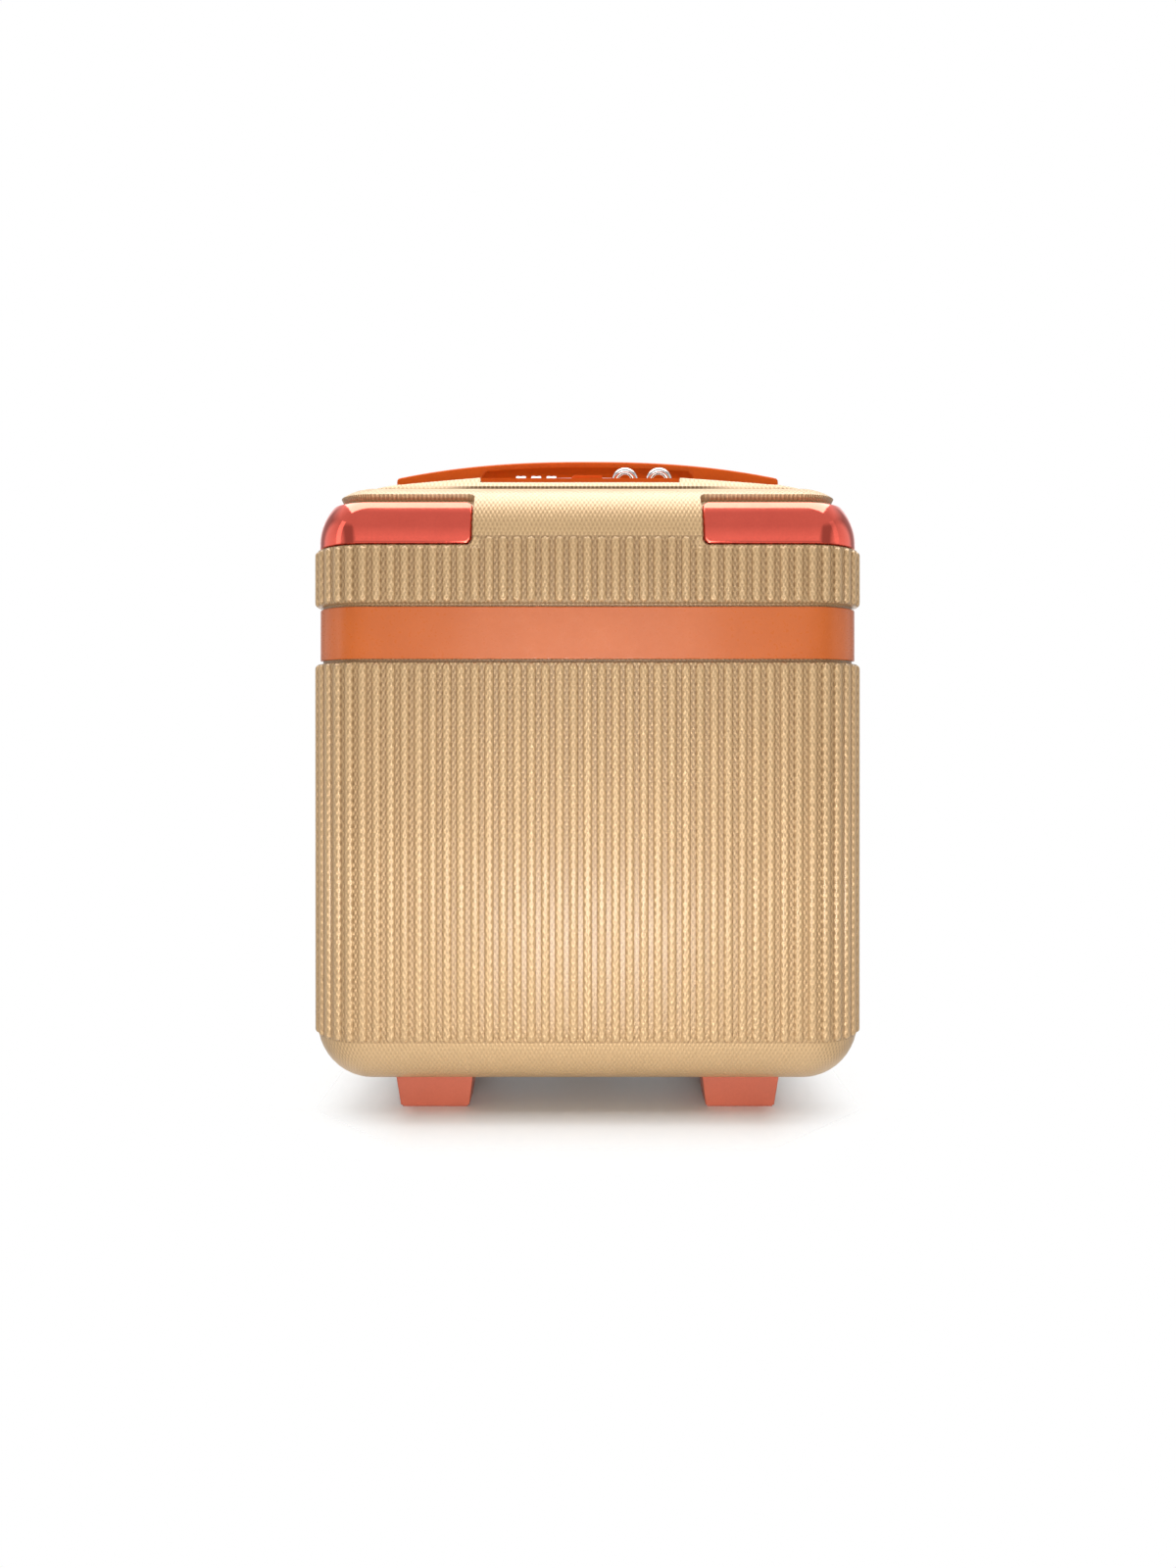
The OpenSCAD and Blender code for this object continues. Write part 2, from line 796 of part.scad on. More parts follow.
module lock_plate() {
    window = sqrt(pow(dial_r, 2) - pow(pad_top - dial_z, 2)) + seat;
    slot_w = 6.8;
    slot_d = 3;
    color("orangered")
        difference() {
            translate([lock_left, -pad_front, pad_top])
                cube([lock_w, lock_d, lock_t]);
            dial_places()
                cube([dial_w + 2 * seat, 2 * window, 4 * dial_r], center = true);
            translate([release_x - neck_l / 2 - seat, -release_y - neck_w / 2 - seat, pad_top - 1])
                cube([neck_l + release_travel + 2 * seat, neck_w + 2 * seat, lock_t + 2]);
            for (x = [slider_left_x, slider_left_x + slider_spacing])
                translate([x - slot_w / 2, -tongue_tip - seat, pad_top - 1])
                    cube([slot_w, slot_d, lock_t + 2]);
            translate([key_x, -key_y, pad_top - 1])
                cylinder(r = key_r + run, h = lock_t + 2);
            lock_screw_places()
                translate([0, 0, pad_top - 1])
                    cylinder(r = screw_r, h = 1 + 0.6 * lock_t);
        }
}

// Open box under the plate, with two cheeks that carry the dials' shaft and posts for the screws.
module lock_case() {
    color("dimgray")
        difference() {
            union() {
                difference() {
                    translate([lock_x - lock_case_w / 2, -lock_mid_y - lock_case_d / 2, lock_case_floor])
                        cube([lock_case_w, lock_case_d, pad_top - lock_case_floor]);
                    translate([lock_x - lock_case_w / 2 + lock_case_t, -lock_mid_y - lock_case_d / 2 + lock_case_t,
                        lock_case_floor + lock_floor_t])
                        cube([lock_case_w - 2 * lock_case_t, lock_case_d - 2 * lock_case_t, 4 * dial_r]);
                }
                for (x = [shaft_from - lock_case_t, shaft_from + shaft_l])
                    translate([x, -dial_y - cheek_w / 2, lock_case_floor + lock_floor_t / 2])
                        cube([lock_case_t, cheek_w, pad_top - lock_case_floor - lock_floor_t / 2]);
                lock_screw_places()
                    translate([0, 0, lock_case_floor + lock_floor_t / 2])
                        cylinder(r = screw_head_r, h = pad_top - lock_case_floor - lock_floor_t / 2);
            }
            dial_shaft();
            lock_screw_places()
                translate([0, 0, lock_case_floor - 1])
                    cylinder(r = screw_r, h = pad_top - lock_case_floor + 2);
        }
}

module lock_screws() {
    color("silver")
        lock_screw_places() {
            translate([0, 0, lock_case_floor - screw_head_t])
                cylinder(r = screw_head_r, h = screw_head_t);
            translate([0, 0, lock_case_floor])
                cylinder(r = screw_r, h = pad_top - lock_case_floor + 0.6 * lock_t);
        }
}

module dial_shaft() {
    color("silver")
        translate([shaft_from - lock_case_t, -dial_y, dial_z])
            rotate([0, 90, 0])
                cylinder(r = shaft_r, h = shaft_l + 2 * lock_case_t);
}

// Number dial with ten finger notches round its rim.
module dial(k) {
    notch_r = 0.5;
    color("white")
        translate([dial_x + k * dial_pitch - dial_w / 2, -dial_y, dial_z])
            rotate([0, 90, 0])
                difference() {
                    cylinder(r = dial_r, h = dial_w);
                    translate([0, 0, -1])
                        cylinder(r = shaft_r + run, h = dial_w + 2);
                    for (turn = [0:36:324])
                        rotate(turn)
                            translate([dial_r, 0, -1])
                                cylinder(r = notch_r, h = dial_w + 2, $fn = 16);
                }
}

// Finger button on the plate, with a neck through the plate's window.
module release_slider() {
    cap_t = 2.4;
    lift = 0.1;
    color("orangered") {
        intersection() {
            translate([release_x - release_l / 2, -release_y - release_w / 2, plate_top + lift])
                cube([release_l, release_w, cap_t]);
            translate([release_x, -release_y + release_w, plate_top + lift])
                rotate([90, 0, 0])
                    linear_extrude(2 * release_w)
                        polygon([
                            [-release_l / 2, 0], [release_l / 2, 0], [release_l / 2, cap_t],
                            [-release_l / 2 + cap_t, cap_t],
                        ]);
        }
        translate([release_x - neck_l / 2, -release_y - neck_w / 2, latch_z + latch_t])
            cube([neck_l, neck_w, plate_top + lift + cap_t / 2 - latch_z - latch_t]);
    }
}

// Bar under the plate, moved by the button, with one hook beside each pull's slot.
module latch_bar() {
    bar_w = 3.5;
    bar_y = release_y - 9;
    hook_w = 3;
    hook_end = slider_left_x + slider_spacing - 1.6;
    color("silver") {
        translate([release_x - neck_l / 2, -release_y - neck_w / 2, latch_z])
            cube([neck_l, release_y + neck_w / 2 - bar_y, latch_t]);
        translate([release_x - neck_l / 2, -bar_y - bar_w, latch_z])
            cube([hook_end - release_x + neck_l / 2, bar_w, latch_t]);
        for (x = [hook_end - slider_spacing, hook_end])
            translate([x - hook_w, -bar_y - bar_w, latch_z])
                cube([hook_w, bar_y + bar_w - tongue_tip + 2, latch_t]);
    }
}

module key_cylinder() {
    color("silver")
        translate([key_x, -key_y, 0])
            difference() {
                translate([0, 0, lock_case_floor + lock_floor_t + seat])
                    cylinder(r = key_r, h = plate_top + seat - lock_case_floor - lock_floor_t - seat);
                translate([-key_r * 0.6, -0.6, plate_top - 3])
                    cube([key_r * 1.2, 1.2, 6]);
            }
}

// Two plates over and under the teeth, a web between the rows, and two ears for the pull.
module zip_slider(x) {
    gap = 0.2;
    teeth_low = top_z - tooth_mid - tooth_t / 2;
    teeth_high = top_z - tooth_mid + tooth_t / 2;
    color("gainsboro")
        translate([x, 0, 0])
            difference() {
                union() {
                    translate([-slider_l / 2, -slider_w / 2, teeth_low - gap - slider_plate])
                        cube([slider_l, slider_w, slider_plate]);
                    translate([-slider_l / 2, -slider_w / 2, teeth_high + gap])
                        cube([slider_l, slider_w, slider_plate]);
                    translate([-2, -web_t / 2, teeth_low - gap - slider_plate / 2])
                        cube([4, web_t, tooth_t + 2 * gap + slider_plate]);
                    for (side = [-1, 1])
                        translate([side * (pull_w / 2 + ear_gap + ear_t / 2), -bail_y, (bail_z + ear_r + teeth_high) / 2])
                            cube([ear_t, 2 * ear_r, bail_z + ear_r - teeth_high - 2 * gap], center = true);
                }
                translate([-slider_l, -bail_y, bail_z])
                    rotate([0, 90, 0])
                        cylinder(r = bail_r + run, h = 2 * slider_l);
            }
}

// Cast pull: a barrel in the slider's ears, a tongue that lies over the lock, and a finger ring.
module zip_pull(x) {
    wire_x = ring_w / 2 - ring_wire_r;
    straight = ring_h - ring_w;
    ring_z = ear_r + 0.6;
    barrel_l = pull_w + 2 * ear_gap + 2 * ear_t;
    tongue_t = 1.6;
    tongue_z = dome_top + 0.4 - bail_z;
    tip = tongue_tip - bail_y;
    head_w = 6;
    color("gainsboro")
        translate([x, -bail_y, bail_z]) {
            translate([-barrel_l / 2, 0, 0])
                rotate([0, 90, 0])
                    cylinder(r = bail_r, h = barrel_l);
            translate([-pull_w / 2, 0, 0])
                rotate([90, 0, 90])
                    linear_extrude(pull_w)
                        polygon([
                            [1, -0.6], [1, 1], [-12, tongue_z + tongue_t], [-tip, tongue_z + tongue_t],
                            [-tip, tongue_z], [-12.5, tongue_z], [-1, -0.8],
                        ]);
            translate([-head_w / 2, -tip, tongue_z])
                cube([head_w, tip - 12.5, tongue_t]);
            rotate([ring_lean, 0, 0]) {
                translate([-pull_w / 2, -1, 0])
                    cube([pull_w, 2, ring_z + 1.2 * ring_wire_r]);
                translate([0, 0, ring_z + ring_w / 2])
                    rotate([-90, 0, 0])
                        rotate_extrude(angle = 180)
                            translate([wire_x, 0])
                                circle(ring_wire_r, $fn = 32);
                for (side = [-1, 1])
                    translate([side * wire_x, 0, ring_z + ring_w / 2])
                        cylinder(r = ring_wire_r, h = straight, $fn = 32);
                translate([0, 0, ring_z + ring_w / 2 + straight])
                    rotate([90, 0, 0])
                        rotate_extrude(angle = 180)
                            translate([wire_x, 0])
                                circle(ring_wire_r, $fn = 32);
            }
        }
}

// Height of the handle's top at a distance from its middle.
function handle_z(x) = handle_top - grip_fall * pow(abs(x) / grip_half, handle_curve);

// Strap handle in one piece: a thin grip between two end blocks that are hollow over their brackets.
module handle() {
    end_x = handle_l / 2;
    corner_z = handle_z(end_x - handle_corner) - handle_corner;
    step_drop = 5.4;
    block_x = grip_half + 8;
    crown = [for (x = [0:4:end_x - handle_corner - 2]) [x, handle_z(x)]];
    corner = [
        for (turn = [90:-15:0])
            [end_x - handle_corner + handle_corner * cos(turn), corner_z + handle_corner * sin(turn)]
    ];
    inner = [
        [end_x, seat_top + seat], [block_x, seat_top + seat], [grip_half + 6.6, handle_top - grip_t - step_drop],
        [grip_half, handle_top - grip_t], [0, handle_top - grip_t],
    ];
    color("orangered")
        difference() {
            for (side = [0, 1])
                mirror([side, 0, 0])
                    translate([0, handle_y + handle_w, 0])
                        rotate([90, 0, 0])
                            linear_extrude(handle_w)
                                polygon(concat(crown, corner, inner));
            bracket_places() {
                translate([0, bracket_y, seat_top + bracket_h / 2 + seat / 2])
                    cube([bracket_w + 3 * seat, bracket_d + 3 * seat, bracket_h + seat], center = true);
                translate([0, handle_y - 1, pin_z])
                    rotate([-90, 0, 0])
                        cylinder(r = handle_pin_r, h = handle_w + 2);
            }
        }
}

module handle_pins() {
    color("silver")
        bracket_places()
            translate([0, handle_y + 0.5, pin_z])
                rotate([-90, 0, 0])
                    cylinder(r = handle_pin_r, h = handle_w - 1);
}

// Post that the handle's pin rides up in, in an upright slot.
module handle_bracket(side) {
    slot_r = handle_pin_r + 2 * run;
    color("dimgray")
        translate([side * bracket_x, 0, 0])
            difference() {
                translate([-bracket_w / 2, bracket_y - bracket_d / 2, seat_top])
                    cube([bracket_w, bracket_d, bracket_h]);
                for (z = [pin_z, pin_z + handle_lift])
                    translate([0, bracket_y - bracket_d, z])
                        rotate([-90, 0, 0])
                            cylinder(r = slot_r, h = 2 * bracket_d);
                translate([-slot_r, bracket_y - bracket_d, pin_z])
                    cube([2 * slot_r, 2 * bracket_d, handle_lift]);
                bracket_screw_places()
                    translate([0, 0, seat_top - 1])
                        cylinder(r = screw_r, h = bracket_screw_l + 1);
            }
}

module bracket_plates() {
    color("silver")
        bracket_places()
            difference() {
                translate([-bracket_w / 2, bracket_y - bracket_d / 2, seat_top - wall - bracket_plate_t])
                    cube([bracket_w, bracket_d, bracket_plate_t]);
                bracket_screw_places()
                    translate([0, 0, seat_top - wall - 2 * bracket_plate_t])
                        cylinder(r = screw_r, h = 3 * bracket_plate_t);
            }
}

module bracket_screws() {
    low = seat_top - wall - bracket_plate_t;
    color("silver")
        bracket_places()
            bracket_screw_places() {
                translate([0, 0, low - screw_head_t])
                    cylinder(r = screw_head_r, h = screw_head_t);
                translate([0, 0, low])
                    cylinder(r = screw_r, h = seat_top + bracket_screw_l - low);
            }
}

// A piece of the front half turned into its twin on the rear half.
module to_rear() {
    mirror([0, 1, 0])
        children();
}

module to_left() {
    mirror([1, 0, 0])
        children();
}

rear_shell();
to_rear() band();  // rear_band
to_rear() to_left() guard();  // rear_guard_left
to_rear() guard();  // rear_guard_right
to_rear() guard_screws();  // rear_guard_screws
to_rear() feet();  // rear_feet
to_rear() foot_screws();  // rear_foot_screws
to_rear() piping();  // rear_piping
to_rear() zip_tape();  // rear_zip_tape
to_rear() zip_teeth();  // rear_zip_teeth
to_rear() zip_stops();  // rear_zip_stops
to_rear() lining();  // rear_lining
to_rear() hinge_leaves(0, hinge_pin_r);  // rear_hinge_leaves
to_rear() hinge_rivets();  // rear_hinge_rivets
hinge_pins();
handle_bracket(-1);  // handle_bracket_left
handle_bracket(1);  // handle_bracket_right
bracket_plates();
bracket_screws();
front_shell();
band();  // front_band
to_left() guard();  // front_guard_left
guard();  // front_guard_right
guard_screws();  // front_guard_screws
feet();  // front_feet
foot_screws();  // front_foot_screws
piping();  // front_piping
zip_tape();  // front_zip_tape
zip_teeth();  // front_zip_teeth
zip_stops();  // front_zip_stops
lining();  // front_lining
hinge_leaves(1, hinge_pin_r + run);  // front_hinge_leaves
hinge_rivets();  // front_hinge_rivets
lock_plate();
lock_case();
lock_screws();
dial_shaft();
dial(0);  // dial_left
dial(1);  // dial_middle
dial(2);  // dial_right
release_slider();
latch_bar();
key_cylinder();
zip_slider(slider_left_x);  // zip_slider_left
zip_slider(slider_left_x + slider_spacing);  // zip_slider_right
zip_pull(slider_left_x);  // zip_pull_left
zip_pull(slider_left_x + slider_spacing);  // zip_pull_right
handle();
handle_pins();
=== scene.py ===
import math

import bmesh
import bpy
import numpy as np
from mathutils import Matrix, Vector

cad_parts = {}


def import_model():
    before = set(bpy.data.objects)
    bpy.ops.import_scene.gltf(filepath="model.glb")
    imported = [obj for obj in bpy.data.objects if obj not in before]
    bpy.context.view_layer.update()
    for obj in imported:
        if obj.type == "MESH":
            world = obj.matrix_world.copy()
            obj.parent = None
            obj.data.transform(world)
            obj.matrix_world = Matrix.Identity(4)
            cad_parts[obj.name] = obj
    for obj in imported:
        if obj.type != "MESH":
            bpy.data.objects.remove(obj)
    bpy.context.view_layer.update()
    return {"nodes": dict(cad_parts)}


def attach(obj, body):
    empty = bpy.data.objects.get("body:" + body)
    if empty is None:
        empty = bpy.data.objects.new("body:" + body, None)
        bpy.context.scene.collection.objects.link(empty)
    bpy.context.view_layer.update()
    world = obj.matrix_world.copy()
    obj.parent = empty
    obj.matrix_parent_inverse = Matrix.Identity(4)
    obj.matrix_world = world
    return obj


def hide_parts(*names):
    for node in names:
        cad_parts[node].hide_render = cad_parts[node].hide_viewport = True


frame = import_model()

# Sizes of the case in millimetres, in the part's own frame. LOW and HIGH are where the round edges begin.
MM = 0.001
EDGE_R = 32.0
CASE_W = 301.0
CASE_D = 162.0
LOW = 50.0
HIGH = 314.0
TOP = HIGH + EDGE_R
BOTTOM = LOW - EDGE_R
RIM = 7.0
FLAT_X = CASE_W / 2 - EDGE_R
FLAT_Y = CASE_D / 2 - EDGE_R
CORNER_RUN = EDGE_R * math.pi / 2
HALF_RUN = FLAT_X + CORNER_RUN + FLAT_Y - RIM
TOP_RUN = HIGH + CORNER_RUN
BOTTOM_RUN = LOW - CORNER_RUN
WALL = 2.5
LIP = 0.4

# Steps in a quarter turn, the least distance between rows of points, the distance in metres under which
# points are joined, and the map units in a millimetre
ARC_STEPS = 16
LEAST_STEP = 0.12
WELD = 1e-6
MAP_SCALE = 0.1

# Ribs. RIB_CLEAR is how near to a guard's side a rib is cut short, and RIB_SHORT how far below its recess.
RIB_PITCH = 7.5
RIB_W = 4.9
RIB_H = 1.5
RIB_LOW = 44.5
RIB_HIGH = 314.5
RIB_GAP = 0.5
RIB_CLEAR = 3.5
RIB_SHORT = 0.7

# Band and its groove
GROOVE_LOW = 247.5
GROOVE_HIGH = 279.0
GROOVE_DEPTH = 3.0
GROOVE_Y = 17.0
GROOVE_CORNER = 2.5
BAND_GAP = 1.7
BAND_DEPTH = 1.5
BAND_CORNER = 2.0
BAND_ROLL = 0.5

# Corner guards and their recesses. The rises are heights over HIGH, on the guard's and the shell's face.
GUARD_X = 62.0
GUARD_Y = 31.0
GUARD_LOW = 310.6
GUARD_DEPTH = 1.2
GUARD_RISE = 20.8
GUARD_HIGH = HIGH + EDGE_R * math.asin(GUARD_RISE / (EDGE_R - GUARD_DEPTH))
GUARD_CORNER = 4.0
GUARD_ROLL = 1.2
RECESS_DEPTH = 3.4
RECESS_RISE = 25.5
RECESS_HIGH = HIGH + EDGE_R * math.asin(RECESS_RISE / EDGE_R)
RECESS_GAP = 0.6
SINK_EDGE = 0.35

# Embossed pattern of the shell
DIAMOND_W = 2.33
DIAMOND_H = 4.6

# Lock, the shell's opening under it, and the raised pads under the lock and the handle
LOCK_LEFT = -60.25
LOCK_RIGHT = 51.85
OPENING_Y = (-45.0, -17.0)
OPENING_INSET = 2.0
PAD_FRONT = -53.0
PAD_FOOT = TOP_RUN + FLAT_Y + PAD_FRONT
PAD_SLOPE = 6.5
PAD_H = 4.5
PAD_END = 106.5
PAD_END_H = 2.8
PAD_BACK = -15.0
PAD_STEEP = 9.0
PAD_CREASE = 0.9
PAD_SINK = 0.6
DOME_H = 7.5
DOME_RUN = 1.5
LOCK_EDGE = 0.05
REAR_PAD_END = 114.0
REAR_PAD_H = 6.0
REAR_PAD_BACK = -10.0

# Number dials
DIAL_X = (-38.0, -29.3, -20.6)
DIAL_Y = -35.5
DIAL_Z = 349.3
DIAL_R = 7.5
DIAL_W = 5.6
DIAL_BORE = 1.5
DIAL_EDGE = 0.35
DIAL_POINTS = 120
NOTCHES = 10
NOTCH_FROM = 0.82
NOTCH_DEPTH = 2.6
DIGIT_H = 2.7
DIGIT_LIFT = 0.05
DIGIT_TURN = 36

# Zip. A run is a length along the teeth, from their lower end on the right side to that on the left.
PIPING_R = 1.25
TAPE_TOP = 2.5
TAPE_LOW = 3.1
TAPE_FROM = 1.65
TAPE_TO = 14.0
TOOTH_MID = 2.8
TOOTH_PITCH = 2.5
TEETH_LOW = LOW + 4.6
ZIP_R = EDGE_R - TOOTH_MID
ZIP_SIDE = HIGH - TEETH_LOW
ZIP_CORNER = ZIP_R * math.pi / 2
ZIP_RUN = 2 * ZIP_SIDE + 2 * ZIP_CORNER + 2 * FLAT_X
ZIP_CORD_R = 0.72
ZIP_CORD_Y = -2.3

# Zip pulls, each on the bail of its slider
SLIDER_X = (22.4, 42.8)
BAIL_Y = -1.5
BAIL_Z = 348.0
RING_LEAN = math.radians(17)
RING_R = 6.0
RING_T = 2.0
RING_UP = 10.5
RING_STRETCH = 3.0
BARREL_HALF = 3.4
TONGUE_END = -21.0
TONGUE_BEND = -12.5
TONGUE_HALF = 1.9
TONGUE_Z = (5.9, 7.5)
PLATE_HALF = 3.0

# Lining
LINING_MOUTH = 7.6
LINING_IN = 8.4
LINING_FROM = 13.1
LINING_POINTS = 40
LINING_STEP = 4.0
PUCKER = 0.25
PUCKER_FROM = 14
PANEL_EDGE = 14
PANEL_PAD = 0.5
PANEL_FOLD = 0.35

# Feet: for the glide and the block, its heights and its width and depth at each
FOOT_X = 85.5
FOOT_Y = -38.0
FOOT_BLOCKS = ((0.0, 1.2, (36.6, 21.6), (37.0, 22.0)), (1.0, 18.0, (38.3, 23.3), (42.9, 27.9)))

# Handle. UNDER_X and UNDER_Z are its underside's turn down from the grip to the end blocks.
HANDLE_TOP = 375.7
HANDLE_HALF = 116.5
HANDLE_Y = (6.0, 34.0)
HANDLE_MID = 20.0
HANDLE_EDGE = 1.2
END_ROUND = 2.5
GRIP_HALF = 58.0
GRIP_FALL = 2.0
GRIP_CURVE = 2.35
HOLLOW_HALF = 54
LIP_DROP = 3.8
SEAT_TOP = 352.0
UNDER_X = (57.0, 59.0, 61.5, 63.5, 64.8, 65.6, 66.2)
UNDER_Z = (371.3, 370.9, 369.6, 367.4, 364.6, 360.0, SEAT_TOP + 0.3)
BRACKET_X = 84.0
POCKET_HALF = 14.5
POCKET_Y = (13.0, 27.0)
POCKET_TOP = 366.4
UNDER_NORMAL = -0.3

# Floor: half its side, how far it is full from the middle, and how far it then takes to fade
FLOOR_HALF = 250
FLOOR_FULL = (95 * MM, 55 * MM)
FLOOR_FADE = 95 * MM
GLOW_FADE = 60 * MM

# Camera, in metres, fitted to the levels and columns of the photo
CAMERA_AT = (0, -0.6725, 0.2085)
CAMERA_LENS = 25.5
CAMERA_SHIFT = (0.0003, -0.0312)


class Shape:
    """A mesh in the making: vertices in millimetres, faces, and a flat map position for each vertex."""

    def __init__(self):
        self.verts = []
        self.faces = []
        self.maps = []

    def points(self, places, maps=None):
        """Adds points, and returns the number of the first of them."""
        first = len(self.verts)
        places = np.asarray(places, float).reshape(-1, 3)
        maps = places[:, [0, 2]] if maps is None else np.asarray(maps, float).reshape(-1, 2)
        self.verts.extend(places.tolist())
        self.maps.extend(maps.tolist())
        return first

    def grid(self, points, maps=None, wrap=False, flip=False):
        """Quads between the rows of points. A wrapped grid joins its last column to its first."""
        rows, cols = points.shape[:2]
        first = self.points(points, maps)
        for row in range(rows - 1):
            for col in range(cols if wrap else cols - 1):
                a = first + row * cols + col
                b = first + row * cols + (col + 1) % cols
                face = (a, b, b + cols, a + cols)
                self.faces.append(face[::-1] if flip else face)

    def prism(self, outline, locate, low, high):
        """An outline of (u, w) pairs, extruded from low to high. locate makes points of u, w and t."""
        outline = np.asarray(outline, float)
        count = len(outline)
        levels = [locate(outline[:, 0], outline[:, 1], np.full(count, t)) for t in (low, high)]
        first = self.points(np.concatenate(levels))
        for k in range(count):
            n = (k + 1) % count
            self.faces.append((first + k, first + n, first + count + n, first + count + k))
        self.faces.append(tuple(first + k for k in reversed(range(count))))
        self.faces.append(tuple(first + count + k for k in range(count)))

    def box(self, low, high):
        (x0, y0, z0), (x1, y1, z1) = low, high
        corners = [(x0, y0), (x1, y0), (x1, y1), (x0, y1)]
        self.prism(corners, lambda u, w, t: np.stack([u, w, t], -1), z0, z1)

    def tube(self, path, radius, sides=16, closed=False):
        """A round tube along a path. radius is one number or one for each point."""
        path = np.asarray(path, float)
        count = len(path)
        radius = np.broadcast_to(np.asarray(radius, float), (count,))
        if closed:
            along = np.roll(path, -1, 0) - np.roll(path, 1, 0)
        else:
            along = np.gradient(path, axis=0)
        along /= np.linalg.norm(along, axis=1, keepdims=True)
        across = np.cross(along[0], [0, 0, 1] if abs(along[0][2]) < 0.9 else [0, 1, 0])
        turn = np.linspace(0, 2 * math.pi, sides, endpoint=False)[:, None]
        rings = []
        for k in range(count):
            across = across - along[k] * np.dot(across, along[k])
            across /= np.linalg.norm(across)
            other = np.cross(along[k], across)
            rings.append(path[k] + radius[k] * (np.cos(turn) * across + np.sin(turn) * other))
        if closed:
            rings.append(rings[0])
        first = len(self.verts)
        self.grid(np.array(rings), wrap=True, flip=True)
        if not closed:
            self.faces.append(tuple(first + k for k in range(sides)))
            last = first + (count - 1) * sides
            self.faces.append(tuple(last + k for k in reversed(range(sides))))


def place(name, data):
    """A new object in the scene."""
    made = bpy.data.objects.new(name, data)
    bpy.context.scene.collection.objects.link(made)
    return made


def evaluated_mesh(made):
    """A new mesh of the object, as its modifiers or its text shape it."""
    bpy.context.view_layer.update()
    graph = bpy.context.evaluated_depsgraph_get()
    return bpy.data.meshes.new_from_object(made.evaluated_get(graph))


def add(name, shape, finish, body, slot, stands_for=(), rear=False, left=False, bevel=0.0, smooth=35,
        closed=False):
    """Makes the piece, in metres. rear and left mirror it, and closed turns all its faces outwards. bevel
    rounds the edges that are sharper than smooth, which is in degrees."""
    points = np.array(shape.verts) * MM
    flips = rear != left
    points[:, 1] *= -1 if rear else 1
    points[:, 0] *= -1 if left else 1
    data = bpy.data.meshes.new(name)
    data.from_pydata(points.tolist(), [], [f[::-1] for f in shape.faces] if flips else shape.faces)
    maps = np.array(shape.maps)
    corners = np.zeros(len(data.loops), np.int32)
    data.loops.foreach_get("vertex_index", corners)
    layer = data.uv_layers.new(name="Wall")
    layer.data.foreach_set("uv", (maps[corners] * MAP_SCALE).ravel().astype(np.float32))
    work = bmesh.new()
    work.from_mesh(data)
    bmesh.ops.remove_doubles(work, verts=work.verts, dist=WELD)
    if closed:
        bmesh.ops.recalc_face_normals(work, faces=work.faces)
    if bevel:
        joined = [edge for edge in work.edges if len(edge.link_faces) == 2]
        sharp = [edge for edge in joined if edge.calc_face_angle() > math.radians(smooth)]
        bmesh.ops.bevel(work, geom=sharp, offset=bevel * MM, segments=3, profile=0.6, affect="EDGES",
                        clamp_overlap=True)
    work.to_mesh(data)
    work.free()
    data.shade_smooth()
    data.set_sharp_from_angle(angle=math.radians(smooth + 10))
    piece = place(name, data)
    data.materials.append(finish)
    if bevel:
        even = piece.modifiers.new("even_shading", "WEIGHTED_NORMAL")
        even.keep_sharp = True
    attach(piece, body)
    if stands_for:
        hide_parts(*stands_for)
    return piece


def add_to_half(rear, piece_name, shape, finish, slot, node_name, **options):
    """Makes a piece that each half of the case has, with the half's name before its own."""
    half = "rear" if rear else "front"
    return add(f"{half}_{piece_name}", shape, finish, half + "_half", slot, [f"{half}_{node_name}"],
               rear=rear, **options)


def surface(s, v, d=0.0):
    """Points of the front half's outside: s runs round the wall from the middle of the front, v runs up it,
    and d is the depth below the smooth surface."""
    s, v, d = np.broadcast_arrays(*(np.asarray(a, float) for a in (s, v, d)))
    away = np.abs(s)
    turn = np.clip((away - FLAT_X) / EDGE_R, 0, math.pi / 2)
    tilt = np.clip((v - HIGH) / EDGE_R, 0, math.pi / 2) + np.clip((v - LOW) / EDGE_R, -math.pi / 2, 0)
    out = (EDGE_R - d) * np.cos(tilt)
    x = np.sign(s) * (np.minimum(away, FLAT_X) + out * np.sin(turn))
    y = -FLAT_Y + np.maximum(away - FLAT_X - CORNER_RUN, 0) - out * np.cos(turn)
    z = np.clip(v, LOW, HIGH) + (EDGE_R - d) * np.sin(tilt)
    return np.stack([x, y, z], -1)


def wall_at(y):
    """The wall length s at which the right side is at the given y."""
    return FLAT_X + CORNER_RUN + FLAT_Y + y


def outline_gap(s, v, s0, s1, v0, v1, corner):
    """Signed distance from a rounded rectangle on the wall, negative inside it."""
    across = np.abs(s - (s0 + s1) / 2) - (s1 - s0) / 2 + corner
    up = np.abs(v - (v0 + v1) / 2) - (v1 - v0) / 2 + corner
    beyond = np.hypot(np.maximum(across, 0), np.maximum(up, 0))
    return beyond + np.minimum(np.maximum(across, up), 0) - corner


def steps(low, high, coarse, marks, fine=0.3, near=1.2, middle=0.9, reach=6.0):
    """Positions from low to high: coarse ones, with middling ones within reach of a mark and fine ones near
    it."""
    values = set(np.round(np.linspace(low, high, max(2, int((high - low) / coarse) + 1)), 4))
    for mark in marks:
        values |= set(np.round(np.arange(mark - near, mark + near + 0.01, fine), 4))
        values |= set(np.round(np.arange(mark - reach, mark + reach + 0.01, middle), 4))
    kept = [low]
    for value in sorted(values):
        if low < value < high and value - kept[-1] > LEAST_STEP:
            kept.append(value)
    kept.append(high)
    return np.array(kept)


